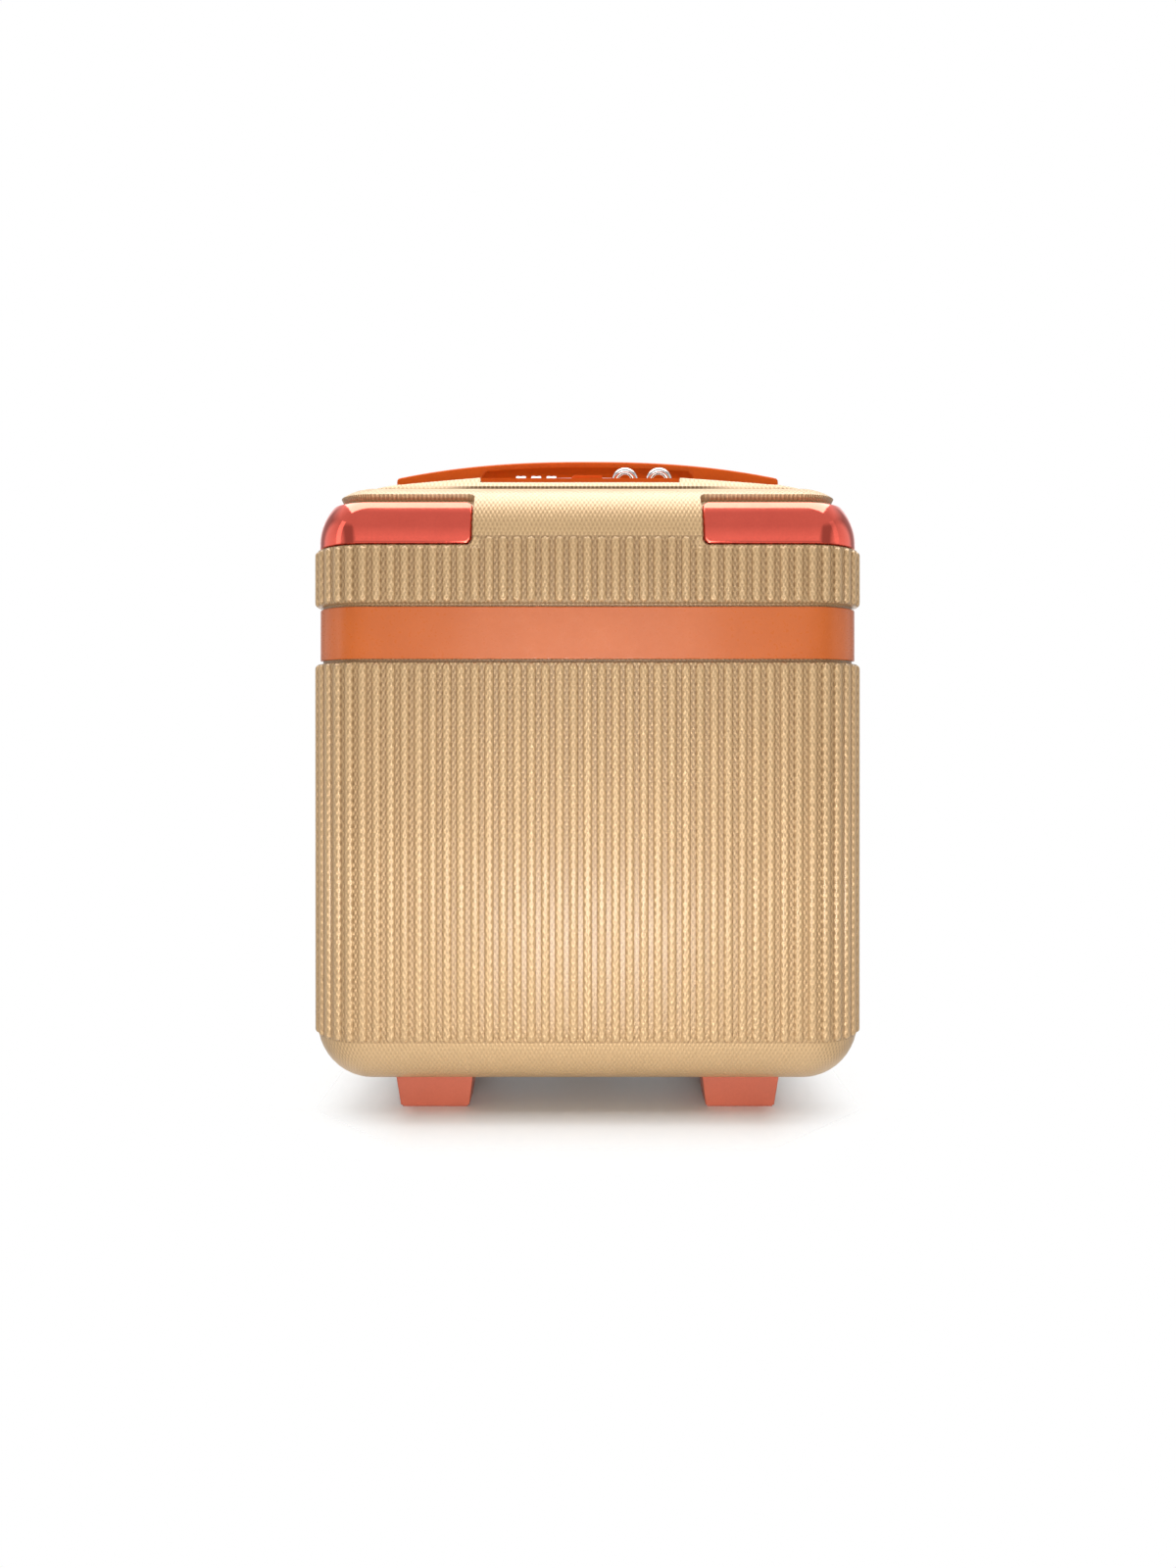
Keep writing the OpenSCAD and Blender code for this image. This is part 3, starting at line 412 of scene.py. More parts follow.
def sink(gap, amount):
    """The depth at a signed distance from a recess's outline, with a soft step at the outline."""
    share = np.clip(0.5 - gap / (2 * SINK_EDGE), 0, 1)
    return amount * share * share * (3 - 2 * share)


def depth(s, v):
    """How far the groove and the guards' recesses lie below the smooth surface."""
    away = np.abs(s)
    groove_end = wall_at(-GROOVE_Y)
    groove = outline_gap(away, v, -groove_end, groove_end, GROOVE_LOW, GROOVE_HIGH, GROOVE_CORNER)
    recess = outline_gap(away, v, GUARD_X - RECESS_GAP, wall_at(-GUARD_Y) + RECESS_GAP,
                         GUARD_LOW - RECESS_GAP, RECESS_HIGH, GUARD_CORNER)
    return np.maximum(sink(groove, GROOVE_DEPTH), sink(recess, RECESS_DEPTH))


def ring(offset, y, straight=6):
    """The upright outline, at an offset below the smooth surface. It starts at the top of the right side and
    runs over the top to the left. straight is the number of points inside each straight stretch."""
    radius = EDGE_R - offset
    corners = []
    for quarter, (x, z) in enumerate([(FLAT_X, HIGH), (-FLAT_X, HIGH), (-FLAT_X, LOW), (FLAT_X, LOW)]):
        for step in range(ARC_STEPS + 1):
            turn = math.pi / 2 * quarter + math.pi / 2 * step / ARC_STEPS
            corners.append((x + radius * math.cos(turn), z + radius * math.sin(turn)))
    corners = np.array(corners)
    full = []
    for k, point in enumerate(corners):
        full.append(point)
        if k % (ARC_STEPS + 1) == ARC_STEPS:
            after = corners[(k + 1) % len(corners)]
            full.extend(point + (after - point) * t for t in np.linspace(0, 1, straight + 2)[1:-1])
    full = np.array(full)
    return np.stack([full[:, 0], np.full(len(full), float(y)), full[:, 1]], -1)


def ring_run():
    """Distance round the outline at each of its points."""
    gaps = np.linalg.norm(np.diff(ring(0, 0), axis=0), axis=1)
    return np.concatenate([[0], np.cumsum(gaps)])


# Materials

def material(name, colour, roughness, metallic=0.0, coat=0.0, coat_roughness=0.1, specular=0.5):
    made = bpy.data.materials.new(name)
    made.use_nodes = True
    tree = made.node_tree
    shader = tree.nodes["Principled BSDF"]
    values = {"Base Color": (*colour, 1), "Roughness": roughness, "Metallic": metallic, "Coat Weight": coat,
              "Coat Roughness": coat_roughness, "Specular IOR Level": specular}
    for key, value in values.items():
        shader.inputs[key].default_value = value
    return made, tree, shader


def node(tree, kind, **values):
    made = tree.nodes.new(kind)
    for key, value in values.items():
        if key in made.inputs:
            made.inputs[key].default_value = value
        else:
            setattr(made, key, value)
    return made


def maths(tree, operation, a, b=0.0):
    made = tree.nodes.new("ShaderNodeMath")
    made.operation = operation
    for slot, value in zip(made.inputs, (a, b)):
        if isinstance(value, (int, float)):
            slot.default_value = value
        else:
            tree.links.new(value, slot)
    return made.outputs[0]


def noise(tree, vector, scale, detail=2.0):
    made = node(tree, "ShaderNodeTexNoise", Scale=scale, Detail=detail)
    tree.links.new(vector, made.inputs["Vector"])
    return made.outputs["Fac"]


def blend_colours(tree, factor, a, b):
    made = node(tree, "ShaderNodeMix", data_type="RGBA")
    tree.links.new(factor, made.inputs["Factor"])
    for slot, value in ((made.inputs[6], a), (made.inputs[7], b)):
        if isinstance(value, tuple):
            slot.default_value = (*value, 1)
        else:
            tree.links.new(value, slot)
    return made.outputs[2]


def span(tree, value, low, high, to_low, to_high):
    made = node(tree, "ShaderNodeMapRange", **{"From Min": low, "From Max": high, "To Min": to_low,
                                               "To Max": to_high})
    tree.links.new(value, made.inputs["Value"])
    return made.outputs["Result"]


def bump(tree, shader, height, distance):
    made = node(tree, "ShaderNodeBump", Strength=1.0, Distance=distance * MM)
    tree.links.new(height, made.inputs["Height"])
    tree.links.new(made.outputs["Normal"], shader.inputs["Normal"])


def object_point(tree):
    return tree.nodes.new("ShaderNodeTexCoord").outputs["Object"]


def wall_map(tree):
    """The piece's flat map, as (across, up) in millimetres."""
    made = tree.nodes.new("ShaderNodeSeparateXYZ")
    tree.links.new(tree.nodes.new("ShaderNodeTexCoord").outputs["UV"], made.inputs[0])
    across, up = (maths(tree, "MULTIPLY", made.outputs[axis], 1 / MAP_SCALE) for axis in (0, 1))
    return across, up


def wave(tree, value, pitch):
    return maths(tree, "SINE", maths(tree, "MULTIPLY", value, 2 * math.pi / pitch))


def chain(tree, operation, *values):
    """One value from several, by the same operation between each and the next."""
    result = values[0]
    for value in values[1:]:
        result = maths(tree, operation, result, value)
    return result


def product(tree, *values):
    return chain(tree, "MULTIPLY", *values)


def total(tree, *values):
    return chain(tree, "ADD", *values)


def window(tree, value, rise, fall, peak=1.0):
    """A share that climbs to its peak over the rise, a pair of values, and drops to nothing over the fall."""
    return product(tree, span(tree, value, *rise, 0.0, peak), span(tree, value, *fall, 1.0, 0.0))


def outside(tree, value, low, high):
    """How far the value is below low or above high."""
    below = maths(tree, "SUBTRACT", low, value)
    above = maths(tree, "SUBTRACT", value, high)
    return chain(tree, "MAXIMUM", below, above, 0.0)


def diamonds(tree, across, up):
    """Rows of small raised diamonds, each row half a step on from the last, as a height from -1 to 1."""
    return product(tree, wave(tree, across, DIAMOND_W), wave(tree, up, DIAMOND_H))


def rib_edges(tree, across, up, rib_shade):
    """Painted shade round the ribs: strongest along their edges, less so between them, and less low down."""
    half = RIB_W / 2
    beside = maths(tree, "PINGPONG", across, RIB_PITCH / 2)
    past = maths(tree, "MINIMUM", outside(tree, up, RIB_LOW + half, GROOVE_LOW - RIB_GAP - half),
                 outside(tree, up, GROOVE_HIGH + RIB_GAP + half, RIB_HIGH - half))
    reach = maths(tree, "SQRT", total(tree, product(tree, beside, beside), product(tree, past, past)))
    edge = span(tree, reach, half - 0.4, half + 0.1, 0.0, rib_shade)
    between = span(tree, reach, half + 0.2, RIB_PITCH / 2 - 0.5, 1.0, 0.7)
    end = span(tree, past, half + 0.3, half + 0.9, 1.0, 0.0)
    return product(tree, edge, between, end, span(tree, up, LOW, GROOVE_LOW, 0.7, 0.95))


def recess_shade(tree, away, up):
    """The dark in the band's groove, and on the ledge over each guard."""
    groove = window(tree, up, (GROOVE_LOW, GROOVE_LOW + 0.5), (GROOVE_HIGH - 0.5, GROOVE_HIGH), 0.5)
    ledge = window(tree, up, (GUARD_HIGH - 1, GUARD_HIGH + 1), (RECESS_HIGH, RECESS_HIGH + 0.5), 0.3)
    ledge = product(tree, ledge, span(tree, away, GUARD_X - 1, GUARD_X, 0.0, 1.0))
    return total(tree, groove, ledge)


def foot_line(tree, across, away, up):
    """Painted shade in the crease at the foot of the top pad: a dark toothed line, fainter towards the
    corners.
    """
    line = window(tree, up, (PAD_FOOT - 0.6, PAD_FOOT), (PAD_FOOT + 1.2, PAD_FOOT + 1.8))
    fade = span(tree, away, GUARD_X, GUARD_X + 25, 1.0, 0.2)
    teeth = span(tree, wave(tree, across, DIAMOND_W), -0.8, 0.0, 0.7, 1.0)
    return product(tree, line, fade, teeth)


def moulded(name, light, dark, roughness, metallic, coat, relief, pit_shade, rib_shade):
    """Embossed moulded shell with a metallic lacquer. The emboss's share in the colour is painted shade in
    its pits and painted highlight on its peaks; the ribs' share is painted shade along their edges and
    between them."""
    made, tree, shader = material(name, light, roughness, metallic, coat, coat_roughness=0.3, specular=0.4)
    across, up = wall_map(tree)
    away = maths(tree, "ABSOLUTE", across)
    emboss = diamonds(tree, across, up)
    cloud = noise(tree, object_point(tree), 30.0)
    grain = noise(tree, object_point(tree), 2600.0)
    # Random tone from the cloud and grain, plus painted shade round the ribs, in the groove and on the ledges
    # over the guards.
    shade = total(tree, product(tree, cloud, 0.08), product(tree, grain, 0.8),
                  rib_edges(tree, across, up, rib_shade), recess_shade(tree, away, up))
    # Painted shade and highlight on the emboss: its pits are coloured darker and its peaks lighter, more so
    # higher up.
    pit_shade_share = span(tree, up, LOW, GROOVE_LOW, 0.6 * pit_shade, 1.5 * pit_shade)
    mixed = maths(tree, "SUBTRACT", shade, product(tree, emboss, pit_shade_share))
    coloured = blend_colours(tree, span(tree, mixed, 0.1, 0.95, 0.0, 1.0), light, dark)
    # Painted shade in the crease at the pad's foot: a darker colour, with no coat and full roughness there.
    crease_shade_colour = tuple(0.5 * part for part in dark)
    foot = foot_line(tree, across, away, up)
    tree.links.new(blend_colours(tree, foot, coloured, crease_shade_colour), shader.inputs["Base Color"])
    tree.links.new(span(tree, foot, 0.0, 1.0, coat, 0.0), shader.inputs["Coat Weight"])
    gloss = span(tree, grain, 0.2, 0.8, roughness - 0.06, roughness + 0.08)
    tree.links.new(maths(tree, "MAXIMUM", gloss, foot), shader.inputs["Roughness"])
    height = total(tree, product(tree, emboss, 0.5), product(tree, grain, 0.12))
    bump(tree, shader, height, relief)
    return made


def plain(name, light, dark, roughness, metallic=0.0, coat=0.0, scale=300.0, relief=0.03, specular=0.5,
          stretch=None):
    """A finish with a fine grain, slight colour variation and uneven gloss. stretch draws the grain out."""
    made, tree, shader = material(name, light, roughness, metallic, coat, specular=specular)
    point = object_point(tree)
    if stretch:
        mapping = node(tree, "ShaderNodeMapping", Scale=stretch)
        tree.links.new(point, mapping.inputs["Vector"])
        point = mapping.outputs["Vector"]
    grain = noise(tree, point, scale, 4.0)
    cloud = noise(tree, point, scale / 12)
    mixed = product(tree, total(tree, grain, cloud), 0.5)
    coloured = blend_colours(tree, span(tree, mixed, 0.3, 0.7, 0.0, 1.0), light, dark)
    tree.links.new(coloured, shader.inputs["Base Color"])
    gloss = span(tree, grain, 0.3, 0.7, max(roughness - 0.05, 0.03), roughness + 0.06)
    tree.links.new(gloss, shader.inputs["Roughness"])
    bump(tree, shader, grain, relief)
    return made


def woven(name, light, dark, pitch, relief):
    """Plain weave, drawn from the piece's flat map."""
    made, tree, shader = material(name, light, 0.85, specular=0.25)
    across, up = wall_map(tree)
    threads = product(tree, wave(tree, across, pitch), wave(tree, up, pitch))
    fuzz = noise(tree, object_point(tree), 1500.0, 3.0)
    mixed = total(tree, product(tree, threads, 0.25), fuzz)
    coloured = blend_colours(tree, span(tree, mixed, 0.2, 0.9, 0.0, 1.0), dark, light)
    tree.links.new(coloured, shader.inputs["Base Color"])
    bump(tree, shader, total(tree, threads, fuzz), relief)
    shader.inputs["Sheen Weight"].default_value = 0.25
    return made


SHELL = moulded("shell_tan_gold", (0.68, 0.455, 0.232), (0.29, 0.168, 0.07), roughness=0.44, metallic=0.3,
                coat=0.5, relief=0.36, pit_shade=0.15, rib_shade=0.44)
BAND = plain("band_satin_orange", (0.57, 0.13, 0.024), (0.51, 0.11, 0.018), 0.30, coat=0.1, scale=500.0,
             relief=0.01, specular=0.4)
GUARD = plain("guard_red_lacquer", (0.85, 0.125, 0.083), (0.77, 0.105, 0.07), 0.06, metallic=1.0, coat=0.3,
              scale=900.0, relief=0.001)
LOCK = plain("lock_satin_orange", (0.78, 0.115, 0.008), (0.70, 0.095, 0.006), 0.40, scale=700.0,
             relief=0.02, specular=0.1)
HANDLE = plain("handle_satin_orange", (0.78, 0.125, 0.012), (0.70, 0.105, 0.01), 0.42, scale=700.0,
               relief=0.01, specular=0.1)
# Matt underside of the handle, coloured lighter than the rest of the handle as painted light, since little
# light reaches it
LIGHTENED_UNDERSIDE = plain("handle_matt_underside_painted_light", (0.84, 0.15, 0.02), (0.78, 0.13, 0.016), 0.6, scale=700.0,
                  relief=0.02, specular=0.0)
FEET = plain("feet_coral", (0.46, 0.10, 0.05), (0.40, 0.085, 0.043), 0.42, coat=0.1, scale=700.0)
PIPING = plain("piping_brown", (0.25, 0.10, 0.045), (0.18, 0.07, 0.03), 0.5, scale=900.0, relief=0.05)
TEETH = plain("teeth_bronze", (0.33, 0.17, 0.08), (0.24, 0.12, 0.06), 0.35, metallic=0.6, scale=900.0,
              relief=0.02)
STEEL = plain("steel_satin", (0.62, 0.62, 0.62), (0.50, 0.50, 0.50), 0.3, metallic=1.0, scale=600.0,
              relief=0.01, stretch=(0.1, 1, 1))
CHROME = plain("chrome_polished", (0.70, 0.68, 0.67), (0.62, 0.60, 0.59), 0.09, metallic=1.0, scale=500.0,
               relief=0.004)
BLACK = plain("bracket_black", (0.04, 0.04, 0.04), (0.025, 0.025, 0.025), 0.5, scale=600.0)
WHITE = plain("dial_white", (0.80, 0.79, 0.77), (0.74, 0.73, 0.71), 0.25, coat=0.3, scale=900.0, relief=0.01)
INK = plain("dial_ink", (0.03, 0.03, 0.03), (0.05, 0.05, 0.05), 0.5)
TAPE = woven("zip_tape_brown", (0.24, 0.10, 0.045), (0.13, 0.055, 0.025), pitch=1.2, relief=0.12)
LINING = woven("lining_cream", (0.66, 0.52, 0.37), (0.52, 0.39, 0.26), pitch=0.9, relief=0.06)


# Shells

def shell_base():
    """The wall with its groove and recesses, the flat top and bottom, and the turned rim."""
    shape = Shape()
    ends = [GUARD_X - RECESS_GAP, wall_at(-GUARD_Y) + RECESS_GAP, wall_at(-GROOVE_Y)]
    across = steps(-HALF_RUN, HALF_RUN, 4.0, [side * end for side in (-1, 1) for end in ends])
    up = steps(BOTTOM_RUN, TOP_RUN, 4.0, [GROOVE_LOW, GROOVE_HIGH, GUARD_LOW - RECESS_GAP, RECESS_HIGH])
    s, v = np.meshgrid(across, up)
    shape.grid(surface(s, v, depth(s, v)), np.stack([s, v], -1))
    x, y = np.meshgrid(np.linspace(-FLAT_X, FLAT_X, 40), np.linspace(-FLAT_Y, -RIM, 10))
    for z, first_run, way in ((TOP, TOP_RUN, 1), (BOTTOM, BOTTOM_RUN, -1)):
        maps = np.stack([x, way * (y + FLAT_Y) + first_run], -1)
        shape.grid(np.stack([x, y, np.full_like(x, z)], -1), maps, flip=way < 0)
    lips = [(WALL, TAPE_TO), (WALL, RIM + LIP), (WALL - LIP, RIM), (LIP, RIM), (0.0, RIM + 0.001)]
    rows = np.array([ring(offset, -y) for offset, y in lips])
    shape.grid(rows, rows[..., [0, 2]], wrap=True)
    return shape


def add_rib(shape, s, low, high):
    """One raised rib with round ends, laid on the wall."""
    half_w = RIB_W / 2
    profile = [(half_w + 0.3, -0.5), (half_w, 0.1), (half_w - 0.3, 0.6), (half_w - 0.75, 1.05),
               (half_w - 1.35, 1.36), (0.5, RIB_H)]
    turns = np.linspace(0, math.pi, 9)
    rows = []
    maps = []
    for half, rise in profile:
        a = np.concatenate([half * np.cos(turns), -half * np.cos(turns)])
        b = np.concatenate([high - half_w + half * np.sin(turns), low + half_w - half * np.sin(turns)])
        rows.append(surface(s + a, b, -rise))
        maps.append(np.stack([s + a, b], -1))
    first = len(shape.verts)
    shape.grid(np.array(rows), np.array(maps), wrap=True)
    count = 2 * len(turns)
    top = first + (len(profile) - 1) * count
    for k in range(len(turns) - 1):
        shape.faces.append((top + k, top + k + 1, top + count - 2 - k, top + count - 1 - k))


def under_lock(point):
    """Whether the point lies in the shell's opening under the lock."""
    x, y, z = point
    within_x = LOCK_LEFT + OPENING_INSET < x < LOCK_RIGHT - OPENING_INSET
    return within_x and OPENING_Y[0] < y < OPENING_Y[1] and z > HIGH


def shell(rear):
    shape = shell_base()
    count = int((HALF_RUN - RIB_W) / RIB_PITCH)
    for k in range(-count, count + 1):
        s = k * RIB_PITCH
        under_guard = GUARD_X - RIB_CLEAR < abs(s) < wall_at(-GUARD_Y) + RIB_CLEAR
        add_rib(shape, s, RIB_LOW, GROOVE_LOW - RIB_GAP)
        rib_top = GUARD_LOW - RECESS_GAP - RIB_SHORT if under_guard else RIB_HIGH
        add_rib(shape, s, GROOVE_HIGH + RIB_GAP, rib_top)
    add_pad(shape, rear)
    if not rear:
        shape.faces = [face for face in shape.faces if not under_lock(shape.verts[face[0]])]
    add_to_half(rear, "shell_moulding", shape, SHELL, "shell_tan", "shell")


def add_pad(shape, rear):
    """The raised pad under the lock on the front half, or under the handle on the rear half."""
    if rear:
        marks = [-FLAT_X, -REAR_PAD_END, REAR_PAD_END, FLAT_X]
        heights = [0, REAR_PAD_H, REAR_PAD_H, 0]
        back = REAR_PAD_BACK
        edges = [-REAR_PAD_END, REAR_PAD_END]
    else:
        marks = [-FLAT_X, -PAD_END, LOCK_LEFT - DOME_RUN, LOCK_LEFT - LOCK_EDGE, LOCK_LEFT + LOCK_EDGE,
                 LOCK_RIGHT - LOCK_EDGE, LOCK_RIGHT + LOCK_EDGE, LOCK_RIGHT + DOME_RUN, PAD_END, FLAT_X]
        heights = [0, PAD_END_H, DOME_H, DOME_H, PAD_H, PAD_H, DOME_H, DOME_H, PAD_END_H, 0]
        back = PAD_BACK
        edges = [LOCK_LEFT, LOCK_RIGHT]
    across = steps(-FLAT_X, FLAT_X, 3.0, edges, fine=0.15, near=0.6, middle=0.5, reach=3.0)
    along = steps(PAD_FRONT - PAD_SINK, back + 0.4, 1.5, [PAD_FRONT, PAD_FRONT + PAD_SLOPE, back], fine=0.2,
                  near=1.0, middle=0.5, reach=2.0)
    x, y = np.meshgrid(across, along)
    front = (y - PAD_FRONT) * DOME_H / PAD_SLOPE
    rear_wall = (back - y) * PAD_STEEP
    height = soft_least(soft_least(np.interp(x, marks, heights), front), rear_wall)
    height = np.maximum(height, -PAD_SINK)
    fall = np.where(y < -FLAT_Y, EDGE_R - np.sqrt(np.maximum(EDGE_R ** 2 - (y + FLAT_Y) ** 2, 0)), 0)
    z = TOP + height - fall * (height < 0.3)
    shape.grid(np.stack([x, y, z], -1), np.stack([x, y + HIGH + CORNER_RUN + FLAT_Y], -1))


def soft_least(a, b):
    """The lesser of two heights, with the crease between them rounded."""
    share = np.clip(0.5 + 0.5 * (b - a) / PAD_CREASE, 0, 1)
    return b * (1 - share) + a * share - PAD_CREASE * share * (1 - share) / 2


def inlay(s0, s1, v0, v1, corner, top_depth, low_depth, roll):
    """A strip laid in a recess, with round corners. Its face lies top_depth below the smooth surface and its
    sides reach down to low_depth. roll is the radius of its edges."""
    across = steps(s0, s1, 3.0, [s0, s1], fine=0.25, near=0.0, middle=0.5, reach=corner + 0.5)
    up = steps(v0, v1, 2.0, [v0, v1], fine=0.25, near=1.0, middle=0.5, reach=corner)
    s, v = np.meshgrid(across, up)
    middle_s, middle_v = (s0 + s1) / 2, (v0 + v1) / 2
    past_s = np.abs(s - middle_s) - (s1 - s0) / 2 + corner
    past_v = np.abs(v - middle_v) - (v1 - v0) / 2 + corner
    reach = np.hypot(np.maximum(past_s, 0), np.maximum(past_v, 0))
    pull = np.where((reach > corner) & (past_s > 0) & (past_v > 0), corner / np.maximum(reach, 1e-9), 1.0)
    s = s - np.sign(s - middle_s) * np.where(pull < 1, past_s * (1 - pull), 0)
    v = v - np.sign(v - middle_v) * np.where(pull < 1, past_v * (1 - pull), 0)
    inset = np.clip(-outline_gap(s, v, s0, s1, v0, v1, corner), 0, roll)
    d = top_depth + roll - np.sqrt(np.maximum(roll ** 2 - (roll - inset) ** 2, 0))
    s, v = (np.pad(a, 1, mode="edge") for a in (s, v))
    d = np.pad(d, 1, constant_values=low_depth)
    shape = Shape()
    shape.grid(surface(s, v, d), np.stack([s, v], -1))
    return shape


# Trims

def band(rear):
    end = wall_at(-GROOVE_Y - BAND_GAP)
    shape = inlay(-end, end, GROOVE_LOW + BAND_GAP, GROOVE_HIGH - BAND_GAP, BAND_CORNER, BAND_DEPTH,
                  GROOVE_DEPTH, BAND_ROLL)
    add_to_half(rear, "band_strip", shape, BAND, "band_orange", "band")


def guard(rear, left):
    shape = inlay(GUARD_X, wall_at(-GUARD_Y), GUARD_LOW, GUARD_HIGH, GUARD_CORNER, GUARD_DEPTH, RECESS_DEPTH,
                  GUARD_ROLL)
    name = "guard_left" if left else "guard_right"
    add_to_half(rear, name + "_cap", shape, GUARD, "guard_red", name, left=left)


def piping(rear):
    shape = Shape()
    shape.tube(ring(PIPING_R, -(RIM - PIPING_R)), PIPING_R, 16, closed=True)
    add_to_half(rear, "piping_cord", shape, PIPING, "piping_brown", "piping")


def zip_tape(rear):
    shape = Shape()
    corners = [(TAPE_TOP, TAPE_FROM), (TAPE_TOP, TAPE_TO), (TAPE_LOW, TAPE_TO), (TAPE_LOW, TAPE_FROM),
               (TAPE_TOP, TAPE_FROM)]
    rows = np.array([ring(offset, -y) for offset, y in corners])
    maps = np.stack([np.broadcast_to(ring_run(), rows.shape[:2]), -rows[..., 1]], -1)
    shape.grid(rows, maps, wrap=True)
    add_to_half(rear, "zip_tape_weave", shape, TAPE, "zip_tape_fabric", "zip_tape")


def zip_place(at):
    """Where the zip is at a run along its teeth: x, z, and the direction outwards as an angle."""
    if at < ZIP_SIDE:
        return FLAT_X + ZIP_R, TEETH_LOW + at, 0.0
    if at < ZIP_SIDE + ZIP_CORNER:
        turn = (at - ZIP_SIDE) / ZIP_R
        return FLAT_X + ZIP_R * math.cos(turn), HIGH + ZIP_R * math.sin(turn), turn
    if at < ZIP_SIDE + ZIP_CORNER + 2 * FLAT_X:
        return FLAT_X - (at - ZIP_SIDE - ZIP_CORNER), HIGH + ZIP_R, math.pi / 2
    if at < ZIP_SIDE + 2 * ZIP_CORNER + 2 * FLAT_X:
        turn = math.pi / 2 + (at - ZIP_SIDE - ZIP_CORNER - 2 * FLAT_X) / ZIP_R
        return -FLAT_X + ZIP_R * math.cos(turn), HIGH + ZIP_R * math.sin(turn), turn
    return -FLAT_X - ZIP_R, HIGH - (at - ZIP_SIDE - 2 * ZIP_CORNER - 2 * FLAT_X), math.pi


def zip_teeth(rear):
    """Teeth over the top and down both sides, and the cord that they are sewn to. The rear row meshes with
    the front one."""
    shape = Shape()
    outline = [(-0.75, 2.5), (-0.45, 1.2), (-0.6, 0.4), (-0.5, -0.5), (0.5, -0.5), (0.6, 0.4), (0.45, 1.2),
               (0.75, 2.5)]
    count = int(ZIP_RUN / TOOTH_PITCH)
    cord = []
    for k in range(count):
        x, z, turn = zip_place((k + (0.75 if rear else 0.25)) * ZIP_RUN / count)
        middle = np.array([x, 0, z])
        out = np.array([math.cos(turn), 0, math.sin(turn)])
        along = np.array([-math.sin(turn), 0, math.cos(turn)])
        shape.prism(outline, lambda u, w, t: (middle + u[:, None] * along + np.outer(w, [0, -1, 0])
                                              + t[:, None] * out), 1.0, -1.0)
        cord.append(middle + np.array([0, ZIP_CORD_Y, 0]))
    shape.tube(cord, ZIP_CORD_R, 8)
    add_to_half(rear, "zip_teeth_row", shape, TEETH, "zip_teeth_plastic", "zip_teeth")


def lining(rear):
    """Fabric lining with a turned rim, slight puckers and a shallow padded panel."""
    shape = Shape()
    section = [(TAPE_LOW + 0.2, LINING_FROM), (LINING_MOUTH, LINING_FROM), (LINING_IN, LINING_FROM + 0.5)]
    section += [(LINING_IN, y) for y in np.linspace(16, FLAT_Y, 10)]
    rows = [ring(offset, -y, LINING_POINTS) for offset, y in section]
    radius = EDGE_R - LINING_IN
    for turn in np.linspace(0, math.pi / 2, 14)[1:]:
        rows.append(ring(EDGE_R - radius * math.cos(turn), -FLAT_Y - radius * math.sin(turn), LINING_POINTS))
    rows = np.array(rows)
    spot = rows @ np.array([0.11, 0.13, 0.09])
    pucker = PUCKER * np.sin(rows[..., 0] * 0.35 + rows[..., 2] * 0.31) * np.sin(spot * 3.1)
    deep = np.clip((-rows[..., 1] - PUCKER_FROM) / 10, 0, 1)
    rows[..., 0] -= np.sign(rows[..., 0]) * (pucker + PUCKER) * deep * (np.abs(rows[..., 0]) > FLAT_X)
    length = np.arange(rows.shape[1]) * LINING_STEP
    down = np.concatenate([[0], np.cumsum(np.linalg.norm(np.diff(rows[:, 0], axis=0), axis=1))])
    shape.grid(rows, np.stack(np.meshgrid(length, down), -1), wrap=True, flip=True)
    x, z = np.meshgrid(np.linspace(-FLAT_X, FLAT_X, 80), np.linspace(LOW, HIGH, 88))
    inside = np.minimum(FLAT_X - np.abs(x), (HIGH - LOW) / 2 - np.abs(z - (HIGH + LOW) / 2))
    fade = np.clip(inside / PANEL_EDGE, 0, 1)
    folds_x = np.sin(x * 0.09 + 0.6 * np.sin(z * 0.05))
    folds_z = np.sin(z * 0.07 + 0.5 * np.sin(x * 0.06))
    padding = PANEL_PAD + PANEL_FOLD * folds_x * folds_z
    panel = np.stack([x, -(FLAT_Y + EDGE_R - LINING_IN) + fade * padding, z], -1)
    shape.grid(panel, np.stack([x, z], -1), flip=True)
    piece = add_to_half(rear, "lining_cloth", shape, LINING, "lining_fabric", "lining")


def feet(rear):
    """Two tapered feet with rounded edges and a thin glide underneath."""
    shape = Shape()
    corners = [(-1, -1), (1, -1), (1, 1), (-1, 1)]
    for side in (-1, 1):
        for low, high, low_size, high_size in FOOT_BLOCKS:
            levels = ((low, low_size), (high, high_size))
            first = shape.points([(side * FOOT_X + a * width / 2, FOOT_Y + b * length / 2, z)
                                  for z, (width, length) in levels for a, b in corners])
            for k in range(4):
                n = (k + 1) % 4
                shape.faces.append((first + k, first + n, first + 4 + n, first + 4 + k))
            shape.faces.append(tuple(first + k for k in (3, 2, 1, 0)))
            shape.faces.append(tuple(first + 4 + k for k in range(4)))
    add_to_half(rear, "feet_blocks", shape, FEET, "feet_coral", "feet", bevel=0.9, smooth=30)


# Handle

def handle_z(x):
    return HANDLE_TOP - GRIP_FALL * (x / GRIP_HALF) ** GRIP_CURVE


